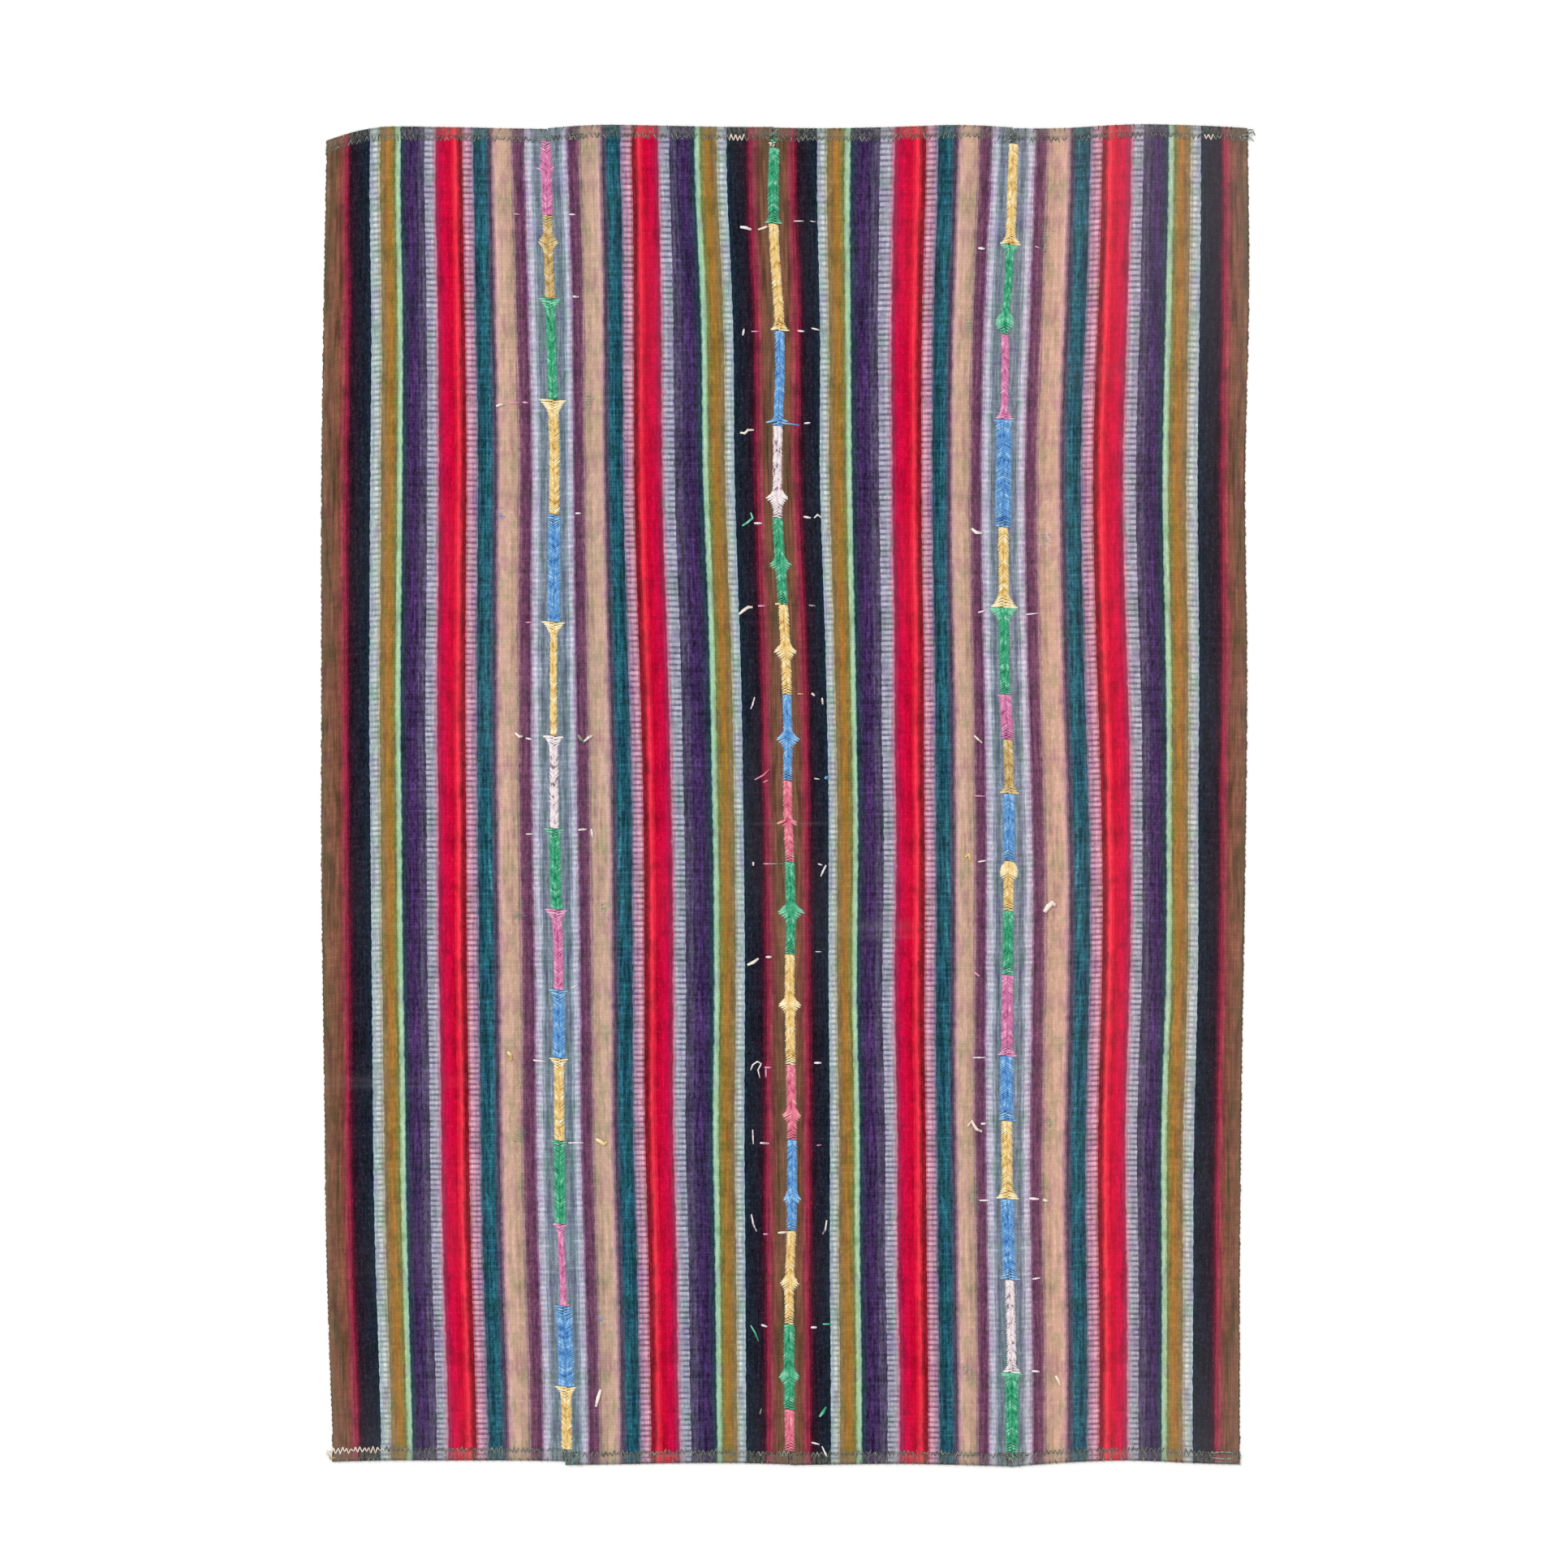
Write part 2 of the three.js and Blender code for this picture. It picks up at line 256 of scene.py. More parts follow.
# Embroidery: flattened yarn in slanting stitches that dip into the join where they meet. The slant
# is FIRST_SLANT of itself at a bar's open end, and whole after about SLANT_GROWTH mm. WIDENING_CURVE
# narrows the start of a flare. Where a flare's half width is OPENING_WIDTH mm more than the bar's, the
# yarn has quite opened out, and is thicker by OPENED_SWELL of itself.
STITCH_PITCH = 3.1
STITCH_SLANT = 7.5
FIRST_SLANT = 0.1
SLANT_GROWTH = 14.0
STITCH_INSET = 0.6
WIDENING_CURVE = 1.5
OPENING_WIDTH = 6.0
OPENED_SWELL = 0.3
STITCH_OVERLAP = 1.2
STITCH_RADIUS = 1.5
STITCH_FLATNESS = 0.65
STITCH_HEIGHTS = (-0.3, 0.7, 1.2, 1.2, 0.3)
STITCH_FULLNESS = (0.6, 0.95, 1.05, 1.0, 0.7)
STITCH_THICKNESSES = (0.8, 1.12)
STITCH_JITTER = 0.7
TUBE_SIDES = 6

# The left column was worked with its stitches rising outwards, the others with them falling.
# Each wanders off its join a little: the columns are y, and how far to the right it lies, in mm.
JOINS = {
    "left_join": {
        "rise": 1,
        "wander": [
            (-1000, 2), (-830, 2.5), (-720, 0), (-630, -1.7), (-440, 0.5), (-250, 2.7), (-120, -0.6),
            (150, -1.6), (340, 0.5), (530, 2), (640, -0.8), (830, -3.5), (990, -1),
        ],
    },
    "centre_join": {
        "rise": -1,
        "wander": [
            (-1000, -1), (-760, -1), (-640, 3), (-540, 3.5), (-380, 1), (-280, 0), (-170, 2), (0, -1),
            (90, 1), (290, 0), (400, -3), (540, 0), (640, 4.5), (730, 4), (820, -1), (900, -2.5),
            (985, 0.5),
        ],
    },
    "right_join": {
        "rise": -1,
        "wander": [
            (-1000, 4), (-925, 4), (-800, 2.6), (-670, -1.7), (-540, -2.9), (-240, -2), (-50, 0.5),
            (45, 1.8), (180, -2.2), (360, -0.6), (650, 0), (720, -2), (790, 2), (990, 1),
        ],
    },
}

# Bars whose yarn spreads wider than their solid, or less wide. Columns: bar, extra reach to each
# side in mm
SPREADING_BARS = {
    "left_join_01_pink": 1.0,
    "left_join_05_blue": 1.0,
    "left_join_06_yellow": -1.2,
    "left_join_07_white": -0.8,
    "left_join_10_blue": 1.0,
    "left_join_12_green": -1.0,
    "left_join_14_blue": 2.0,
    "centre_join_01_green": 0.8,
    "centre_join_05_green": 0.8,
    "centre_join_14_green": 0.8,
    "right_join_04_blue": 2.0,
    "right_join_07_pink": 2.0,
    "right_join_09_blue": 1.0,
    "right_join_11_green": 1.0,
    "right_join_15_blue": 1.8,
    "right_join_17_green": 2.0,
}

# Loose ends of yarn on the cloth beside each change of colour.
# Columns: yarn, radius in mm, points as (x, y) in mm
LOOSE_ENDS = [
    ("cream", 1.3, [(-27, 861), (-34, 858), (-41, 856)]),
    ("white", 1.7, [(-68, 860), (-60, 859), (-51, 856)]),
    ("white", 0.6, [(13, 869), (28, 869)]),
    ("white", 0.5, [(38, 869), (46, 868)]),
    ("pink", 0.8, [(-51, 702), (-38, 702)]),
    ("white", 1.1, [(-64, 696), (-62, 706)]),
    ("white", 1.0, [(19, 703), (29, 702)]),
    ("white", 0.9, [(40, 707), (52, 704)]),
    ("cream", 1.3, [(-68, 549), (-61, 548), (-56, 553), (-47, 553)]),
    ("blue", 0.8, [(-2, 563), (10, 562), (22, 560)]),
    ("white", 1.0, [(29, 563), (38, 564)]),
    ("green", 1.2, [(-52, 428), (-49, 420), (-57, 413), (-65, 408)]),
    ("white", 1.2, [(-47, 412), (-35, 412)]),
    ("white", 1.2, [(28, 422), (39, 420)]),
    ("white", 1.1, [(44, 420), (49, 425), (56, 420)]),
    ("pink", 1.1, [(-41, 287), (-30, 287)]),
    ("cream", 1.6, [(-70, 274), (-63, 280), (-56, 285), (-49, 285)]),
    ("sewing", 1.1, [(36, 288), (46, 287)]),
    ("yellow", 1.2, [(-15, 290), (-6, 290)]),
    ("cream", 1.3, [(40, 155), (45, 151)]),
    ("cream", 1.1, [(56, 148), (57, 138)]),
    ("gold", 0.8, [(19, 154), (28, 154)]),
    ("white", 0.9, [(-46, 149), (-49, 138), (-52, 131)]),
    ("salmon", 0.9, [(-46, 24), (-33, 31), (-24, 40)]),
    ("salmon", 0.8, [(-33, 20), (-25, 24)]),
    ("white", 0.7, [(44, 26), (52, 25)]),
    ("blue", 1.7, [(60, 26), (65, 29)]),
    ("white", 0.5, [(-33, -103), (-2, -103)]),
    ("white", 1.1, [(-48, -100), (-48, -106)]),
    ("white", 0.9, [(50, -103), (56, -105)]),
    ("white", 1.1, [(62, -105), (57, -115), (54, -122)]),
    ("white", 1.3, [(-29, -244), (-20, -244)]),
    ("cream", 1.7, [(-57, -256), (-48, -252), (-40, -246)]),
    ("white", 0.5, [(46, -236), (55, -236)]),
    ("white", 0.8, [(-52, -415), (-49, -407), (-42, -402), (-36, -405), (-41, -415), (-38, -427)]),
    ("pink", 1.1, [(-31, -411), (-21, -411)]),
    ("pink", 0.9, [(-29, -413), (-29, -426)]),
    ("white", 1.2, [(44, -404), (55, -404)]),
    ("white", 0.8, [(-49, -505), (-48, -527)]),
    ("white", 1.2, [(-38, -525), (-24, -526)]),
    ("pink", 0.8, [(48, -529), (55, -528)]),
    ("white", 1.0, [(-51, -633), (-48, -648), (-43, -659)]),
    ("pink", 1.1, [(-33, -663), (-24, -663)]),
    ("cream", 1.3, [(-11, -661), (3, -660)]),
    ("white", 1.0, [(63, -642), (61, -656), (57, -663)]),
    ("green", 1.0, [(-52, -801), (-46, -811), (-40, -825)]),
    ("white", 1.2, [(-36, -800), (-27, -803)]),
    ("white", 1.3, [(39, -804), (48, -804)]),
    ("green", 1.0, [(57, -799), (70, -799)]),
    ("green", 1.6, [(52, -939), (57, -933), (62, -924)]),
    ("sewing", 0.9, [(-38, -935), (-36, -927)]),
    ("white", 1.0, [(40, -978), (52, -981)]),
    ("white", 0.9, [(56, -984), (61, -995), (66, -1004)]),
    ("pink", 0.9, [(-410, 880), (-401, 879)]),
    ("white", 0.9, [(-327, 879), (-317, 879)]),
    ("white", 1.3, [(-321, 755), (-312, 754)]),
    ("cream", 1.5, [(-437, 589), (-431, 591), (-424, 592)]),
    ("pink", 1.1, [(-417, 594), (-402, 594)]),
    ("pink", 1.0, [(-397, 595), (-388, 594)]),
    ("white", 1.1, [(-317, 427), (-309, 427)]),
    ("pink", 0.8, [(-392, 262), (-382, 262)]),
    ("cream", 1.5, [(-408, 95), (-402, 89), (-397, 90)]),
    ("white", 1.1, [(-392, 87), (-382, 85)]),
    ("cream", 1.6, [(-304, 82), (-296, 89), (-290, 91)]),
    ("sewing", 1.8, [(-313, 92), (-308, 84), (-304, 79)]),
    ("white", 1.2, [(-313, -52), (-307, -51), (-300, -51)]),
    ("white", 1.2, [(-293, -50), (-291, -65)]),
    ("white", 0.8, [(-392, -58), (-380, -58)]),
    ("white", 0.8, [(-324, -291), (-313, -286)]),
    ("yellow", 1.8, [(-420, -387), (-415, -392), (-414, -400)]),
    ("white", 1.1, [(-381, -400), (-363, -402)]),
    ("white", 1.0, [(-328, -525), (-304, -525)]),
    ("yellow", 2.0, [(-286, -519), (-279, -523), (-274, -527), (-269, -523)]),
    ("cream", 2.0, [(-279, -898), (-283, -911), (-286, -924)]),
    ("white", 1.3, [(292, 828), (302, 827)]),
    ("pink", 0.8, [(378, 831), (386, 828)]),
    ("white", 1.8, [(282, 404), (289, 398), (298, 397)]),
    ("white", 0.8, [(364, 274), (382, 276)]),
    ("white", 1.0, [(292, 277), (303, 280)]),
    ("cream", 1.2, [(286, 91), (292, 85), (298, 80)]),
    ("pink", 0.9, [(286, 0), (303, -1)]),
    ("yellow", 1.8, [(273, -93), (278, -88), (280, -98)]),
    ("white", 1.0, [(292, -100), (304, -98)]),
    ("cream", 2.7, [(392, -176), (398, -167), (404, -162), (409, -166)]),
    ("pink", 1.2, [(286, -267), (294, -273)]),
    ("white", 0.8, [(283, -396), (304, -396)]),
    ("cream", 1.7, [(276, -500), (282, -492), (289, -504), (298, -508)]),
    ("white", 1.3, [(296, -496), (305, -496)]),
    ("white", 1.5, [(369, -609), (384, -610)]),
    ("cream", 1.5, [(390, -611), (398, -613)]),
    ("white", 1.0, [(294, -612), (310, -612)]),
    ("white", 1.0, [(374, -731), (386, -729)]),
    ("white", 1.2, [(373, -870), (385, -871)]),
    ("cream", 1.5, [(409, -877), (413, -884), (416, -892)]),
]

# A loose end's thickness at its start, along it and at its end, and its height, all in its radius,
# and how far it has opened out, which makes it paler
LOOSE_END_FULLNESS = (1.1, 1.6, 1.0)
LOOSE_END_HEIGHT = 0.8
LOOSE_END_OPENED = 0.7

# Fluff that the embroidery's yarns shed on the tan stripes. Columns: yarn, x, y in mm
FLUFF = [
    ("green", -294, 598),
    ("blue", -430, 426),
    ("green", -402, -178),
    ("green", -400, -512),
    ("blue", -276, -788),
    ("green", 394, 841),
    ("green", 277, 712),
    ("green", 398, -498),
    ("green", 286, -612),
    ("green", 277, -872),
    ("green", -274, -172),
    ("blue", 395, 388),
]

# Single fibres of a wisp, in mm: their spread across and along, length, height and radii
FLUFF_HAIRS = 14
FLUFF_SPREADS = (4.2, 7.0)
FLUFF_LENGTHS = (4, 9)
FLUFF_BEND = 0.5
FLUFF_HEIGHT = 0.2
FLUFF_RADII = (0.2, 0.3, 0.15)

# Tangles of yarn where a column's thread was fastened off at a hem.
# Columns: yarn, x, y, half width, half height in mm, number of ends
TANGLES = [
    ("sewing", -322, -1001, 11, 9, 22),
    ("green", -322, -1000, 9, 7, 3),
    ("sewing", 344, -1000, 19, 7, 36),
    ("green", 345, -999, 13, 5, 3),
    ("sewing", -17, 994, 4, 13, 18),
    ("green", -17, 990, 4, 12, 8),
    ("cream", -17, 992, 5, 12, 4),
    ("sewing", 341, 996, 13, 7, 14),
    ("sewing", -318, 997, 12, 4, 8),
]

# Each end of a tangle is a short bow of yarn: its length, its bend from point to point, its points'
# heights and their radii
TANGLE_LENGTHS = (4, 8)
TANGLE_BEND = 0.4
TANGLE_HEIGHTS = (0.0, 1.6, 0.2)
TANGLE_RADII = (0.8, 1.3, 0.7)

# Hem stitching: a zigzag over the folded edge, whose corners stray and some of whose legs are sunk
# out of sight, and short overcast stitches round the fold itself, which lean and reach as they may
ZIGZAG_INNER = 20.0
ZIGZAG_OUTER = 13.0
ZIGZAG_PITCH = 6.6
ZIGZAG_STRAY_ALONG = 0.25
ZIGZAG_STRAY_INWARD = 2.2
ZIGZAG_HEIGHT = 0.1
ZIGZAG_RADIUS = 0.7
ZIGZAG_SKIP = 0.18
CREAM_RADIUS = 0.9
OVERCAST_PITCH = 12.0
OVERCAST_GAPS = (0.5, 1.5)
OVERCAST_LEAN = 3.0
OVERCAST_REACH = (4, 6.5)
LAST_OVERCAST = 0.995

# Stretches of the zigzag sewn in cream yarn. Columns: end, from x and to x in mm
CREAM_STRETCHES = [
    ("bottom", -706, -606),
    ("top", -86, -64),
    ("top", 632, 646),
]

# Ends of sewing yarn at the corners. Columns: yarn, radius in mm, points as (x, y, height) in mm
CORNER_TUFTS = [
    ("sewing", 1.3, [(690, 998, 4), (700, 1000, 6), (708, 1004, 4), (711, 999, 2)]),
    ("sewing", 1.1, [(692, 1002, 4), (702, 1007, 5), (709, 1007, 3)]),
    ("sewing", 1.0, [(694, 994, 4), (704, 995, 4), (709, 990, 2)]),
    ("cream", 1.2, [(-686, -992, 4), (-692, -990, 4), (-694, -997, 3)]),
    ("gold", 1.4, [(-680, -1000, 4), (-688, -1003, 3), (-690, -996, 2)]),
    ("sewing", 1.0, [(644, -994, 5), (664, -992, 5.2), (688, -995, 4)]),
    ("sewing", 1.0, [(646, -1001, 5), (668, -1003, 5), (688, -1000, 4)]),
    ("sewing", 0.9, [(650, -1007, 4.4), (672, -1008, 4.4), (687, -1004, 3.6)]),
]
CORNER_TUFT_TIP = 0.5

# Thin, rubbed and faded places. Columns: x, y, half width, half height in mm, strength. Over these,
# the whole cloth has faded unevenly.
RUBBED_PLACES = [
    (138, -197, 48, 9, 0.09),
    (150, -213, 40, 4, 0.08),
    (-610, -430, 95, 7, 0.05),
    (-612, -440, 90, 3, 0.06),
    (20, -42, 60, 3, 0.06),
    (430, 640, 120, 18, 0.03),
    (-560, -700, 70, 60, 0.02),
    (520, -330, 80, 90, 0.02),
    (620, 960, 210, 330, 0.07),
    (640, -1010, 170, 170, 0.05),
    (-620, -1010, 160, 130, 0.04),
]
FADING_SPANS = (130, 240)
FADING_STRENGTH = 0.03

# The photograph's frame: its real width, and how far its middle lies from the kilim's
IMAGE_SIZE = 1932
MM_PER_PIXEL = 1.228
VIEW_MIDDLE = (-1.6, 17.7)
CAMERA_HEIGHT = 7000.0
SENSOR_WIDTH = 36.0
FLOOR_SIZE = 12000.0
FLOOR_DROP = 0.2

# Light, in metres and watts: far off, so it falls evenly on the whole kilim
LIGHT_PLACE = (-8.4, 10.8, 19.5)
LIGHT_SIZE = 9.0
LIGHT_POWER = 2340.0
SURROUND_STRENGTH = 0.78


# Reading the frame


def node_corners(name):
    """Each corner of a CAD node's mesh once, in millimetres."""
    corners = set()
    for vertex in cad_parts[name].data.vertices:
        corners.add(tuple(round(value / MM, 2) for value in vertex.co))
    return sorted(corners)


def mix(start, end, share):
    return start + (end - start) * share


def clamp(value):
    return min(max(value, 0.0), 1.0)


def smooth_value(rows, place):
    """Reads rows of (place, value) along a smooth curve through them."""
    places = [row[0] for row in rows]
    index = min(max(bisect.bisect_right(places, place) - 1, 0), len(rows) - 2)
    before = rows[max(index - 1, 0)]
    start = rows[index]
    end = rows[index + 1]
    after = rows[min(index + 2, len(rows) - 1)]
    span = end[0] - start[0]
    share = clamp((place - start[0]) / span)
    start_slope = (end[1] - before[1]) / (end[0] - before[0]) * span
    end_slope = (after[1] - start[1]) / (after[0] - start[0]) * span
    square = share * share
    cube = square * share
    return (
        (2 * cube - 3 * square + 1) * start[1]
        + (cube - 2 * square + share) * start_slope
        + (3 * square - 2 * cube) * end[1]
        + (cube - square) * end_slope
    )


def straight_value(rows, place, column):
    """Reads a column of rows along straight lines between them."""
    for start, end in zip(rows, rows[1:]):
        if place <= end[0]:
            share = max((place - start[0]) / (end[0] - start[0]), 0.0)
            return mix(start[column], end[column], share)
    return rows[-1][column]


def folded_share(inward):
    """How far the folded hem has lifted the cloth, at a distance inward from the cloth's end."""
    return clamp(1 - (inward - HEM_DEPTH) / HEM_SLOPE)


def strip_outline(name):
    """Left and right edges of a strip as (y, x) rows, and its ends as (share across, y) rows."""
    corners = node_corners(name)
    hem_height = max(z for x, y, z in corners)
    row_xs = {}
    for x, y, z in corners:
        if z == 0:
            row_xs.setdefault(y, []).append(x)
    whole = max(max(xs) - min(xs) for xs in row_xs.values())
    full_rows = {y: xs for y, xs in row_xs.items() if max(xs) - min(xs) > FULL_SPAN * whole}
    outline = {
        "hem_height": hem_height,
        "left": sorted((y, min(xs)) for y, xs in full_rows.items()),
        "right": sorted((y, max(xs)) for y, xs in full_rows.items()),
    }
    for end, sign in (("top", 1), ("bottom", -1)):
        at_fold = [(x, y) for x, y, z in corners if abs(z - hem_height / 2) < SAME_HEIGHT]
        nose = sorted((x, y) for x, y in at_fold if y * sign > 0)
        first, last = nose[0][0], nose[-1][0]
        outline[end] = [((x - first) / (last - first), y) for x, y in nose]
    return outline


def bar_outline(name):
    """The top of an embroidery bar, and its rows of (distance down, middle, half width)."""
    rows = {}
    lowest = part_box(name)[0].z / MM
    for x, y, z in node_corners(name):
        if abs(z - lowest) < SAME_HEIGHT:
            rows.setdefault(y, []).append(x)
    top = max(rows)
    outline = []
    for y in sorted(rows, reverse=True):
        middle = (min(rows[y]) + max(rows[y])) / 2
        outline.append((top - y, middle, (max(rows[y]) - min(rows[y])) / 2))
    return top, outline


OUTLINES = {name: strip_outline(name) for name in STRIPS}
JOIN_LINES = [OUTLINES[name]["right"] for name in ("strip_1", "strip_2", "strip_3")]


# Unevenness of the laid cloth, shared by the cloth and by what is sewn to it


def uneven(x, y, spans, seed):
    """Smooth noise between -1 and 1, whose swells are as wide and long as spans say."""
    across, along = spans
    return noise.noise(Vector((x / across, y / along, seed)))


def cloth_lift(x, y):
    """How far the cloth stands off the floor: broad cockles, and small puckers beside the joins."""
    cockle = 0.5 + uneven(x, y, COCKLE_SPANS, SEEDS["cockles"])
    lift = COCKLE_HEIGHT * max(cockle, 0.0)
    for number, line in enumerate(JOIN_LINES):
        distance = abs(x - smooth_value(line, y))
        if distance < OUT_OF_REACH * PUCKER_REACH:
            pucker = 0.5 + uneven(x, y, PUCKER_SPANS, SEEDS["puckers"] + number)
            lift += PUCKER_HEIGHT * max(pucker, 0.0) * math.exp(-distance / PUCKER_REACH)
    return lift


def cloth_fade(x, y, base):
    """How far dust, sun and rubbing have greyed the cloth at a place."""
    fade = base + FADING_STRENGTH * max(uneven(x, y, FADING_SPANS, SEEDS["fading"]), 0.0)
    for patch_x, patch_y, half_width, half_height, strength in RUBBED_PLACES:
        square = ((x - patch_x) / half_width) ** 2 + ((y - patch_y) / half_height) ** 2
        if square < OUT_OF_REACH ** 2:
            fade += strength * math.exp(-square)
    return fade


# Materials


def linear(hex_colour, alpha=1.0):
    """An sRGB hex value as the linear colour that shaders read."""
    channels = []
    for start in (1, 3, 5):
        value = int(hex_colour[start:start + 2], 16) / 255
        channels.append(value / 12.92 if value <= 0.04045 else ((value + 0.055) / 1.055) ** 2.4)
    return (*channels, alpha)


def add(tree, kind, sockets=None, **settings):
    """Adds a node: settings are its properties, and sockets are its inputs' values or links.

    A node among them links by its first output.
    """
    made = tree.nodes.new(kind)
    for key, value in settings.items():
        setattr(made, key, value)
    for key, value in (sockets or {}).items():
        if isinstance(value, bpy.types.Node):
            value = value.outputs[0]
        if isinstance(value, bpy.types.NodeSocket):
            tree.links.new(value, made.inputs[key])
        else:
            made.inputs[key].default_value = value
    return made


def fill_ramp(ramp, stops, smooth):
    """Sets a colour ramp's stops from (position, colour) rows."""
    ramp.interpolation = "LINEAR" if smooth else "CONSTANT"
    while len(ramp.elements) > 1:
        ramp.elements.remove(ramp.elements[-1])
    ramp.elements[0].position = stops[0][0]
    ramp.elements[0].color = stops[0][1]
    for position, colour in stops[1:]:
        ramp.elements.new(position).color = colour


def new_material(name):
    """An empty wool material: its node tree and its shader, with wool's faint soft sheen."""
    material = bpy.data.materials.new(name)
    material.use_nodes = True
    shader = material.node_tree.nodes["Principled BSDF"]
    shader.inputs["Roughness"].default_value = 0.95
    shader.inputs["Specular IOR Level"].default_value = 0.03
    shader.inputs["Sheen Weight"].default_value = 0.015
    shader.inputs["Sheen Roughness"].default_value = 0.5
    return material, material.node_tree, shader


def stripe_colour(tree, across, column, alpha_column):
    """The stripes' colours from one column of their table, with another column as alpha.

    Each half of the strip has its own colour ramp, because a ramp holds 32 stops at most.
    """
    halves = []
    for start in (0.0, MIDDLE_STRIPE):
        share = add(
            tree, "ShaderNodeMapRange",
            {"Value": across, "From Min": start * MM, "From Max": (start + MIDDLE_STRIPE) * MM},
        )
        ramp = add(tree, "ShaderNodeValToRGB", {"Fac": share})
        stops = []
        for row in STRIPES:
            if start <= row[0] < start + MIDDLE_STRIPE:
                colour = linear(row[column], row[alpha_column])
                stops.append(((row[0] - start) / MIDDLE_STRIPE, colour))
        fill_ramp(ramp.color_ramp, stops, smooth=False)
        halves.append(ramp.outputs)
    past_middle = add(
        tree, "ShaderNodeMath", {0: across, 1: MIDDLE_STRIPE * MM}, operation="GREATER_THAN"
    )
    colour = add(
        tree, "ShaderNodeMix",
        {"Factor": past_middle, 6: halves[0]["Color"], 7: halves[1]["Color"]},
        data_type="RGBA",
    )
    alpha = add(
        tree, "ShaderNodeMix", {"Factor": past_middle, 2: halves[0]["Alpha"], 3: halves[1]["Alpha"]}
    )
    return colour.outputs[2], alpha


def stretched_noise(tree, place, grain):
    """Noise whose grains are as wide and long as the table of grains says."""
    width, length, detail, roughness = GRAINS[grain]
    scaled = add(
        tree, "ShaderNodeVectorMath",
        {0: place, 1: (1 / (width * MM), 1 / (length * MM), 1.0)},
        operation="MULTIPLY",
    )
    return add(
        tree, "ShaderNodeTexNoise",
        {"Vector": scaled, "Scale": 1.0, "Detail": detail, "Roughness": roughness},
        noise_dimensions="2D",
    )


def aged_wool(tree, warp, dyed, lit, mottles):
    """The colour of the wool after running dyes, warmth, lint, fading and the hems' thread."""
    # Dye that ran or took unevenly: here and there a stripe leans to violet, elsewhere to green.
    # Columns: grain, tint, and how strong it gets
    tinted = lit
    for grain, tint, strength in (("violet dye", "#dcc4ec", 0.55), ("green dye", "#bfe6c6", 0.55)):
        tint_share = add(
            tree, "ShaderNodeMapRange",
            {"Value": stretched_noise(tree, warp, grain),
             "From Min": 0.5, "From Max": 0.72, "To Max": strength},
        )
        tinted = add(
            tree, "ShaderNodeMix", {"Factor": tint_share, 6: tinted, 7: linear(tint)},
            data_type="RGBA", blend_type="MULTIPLY",
        ).outputs[2]

    # One strip's dyes have turned warmer than another's
    warmth = add(tree, "ShaderNodeAttribute", attribute_name="warmth")
    warming = add(
        tree, "ShaderNodeMix",
        {"Factor": warmth.outputs["Fac"], 4: (1.0, 1.0, 1.0), 5: (1.25, 1.03, 0.98)},
        data_type="VECTOR",
    )
    warmed = add(
        tree, "ShaderNodeVectorMath", {0: tinted, 1: warming.outputs[1]}, operation="MULTIPLY"
    )

    # Lint: pale flecks on dark stripes, hardly any on bright ones
    brightness = add(tree, "ShaderNodeRGBToBW", {0: dyed})
    lint_strength = add(
        tree, "ShaderNodeMapRange",
        {"Value": brightness, "From Min": 0.02, "From Max": 0.14, "To Min": 0.1, "To Max": 0.05},
    )
    lint = add(
        tree, "ShaderNodeMapRange",
        {"Value": stretched_noise(tree, warp, "lint"),
         "From Min": 0.62, "From Max": 0.82, "To Max": lint_strength},
    )

    # Fading and rubbing grey the cloth, and so does the sewing thread that wraps the hems
    fade = add(tree, "ShaderNodeAttribute", attribute_name="fade")
    hem = add(tree, "ShaderNodeAttribute", attribute_name="hem")
    hem_tufts = add(
        tree, "ShaderNodeMapRange",
        {"Value": mottles, "From Min": 0.4, "From Max": 0.64, "To Min": 0.14, "To Max": 0.52},
    )
    hem_share = add(
        tree, "ShaderNodeMath", {0: hem.outputs["Fac"], 1: hem_tufts}, operation="MULTIPLY"
    )
    colour = warmed
    for share, over in ((lint, LINT_GREY), (fade.outputs["Fac"], FADED_GREY), (hem_share, HEM_GREY)):
        colour = add(
            tree, "ShaderNodeMix", {"Factor": share, 6: colour, 7: linear(over)}, data_type="RGBA"
        ).outputs[2]
    return colour


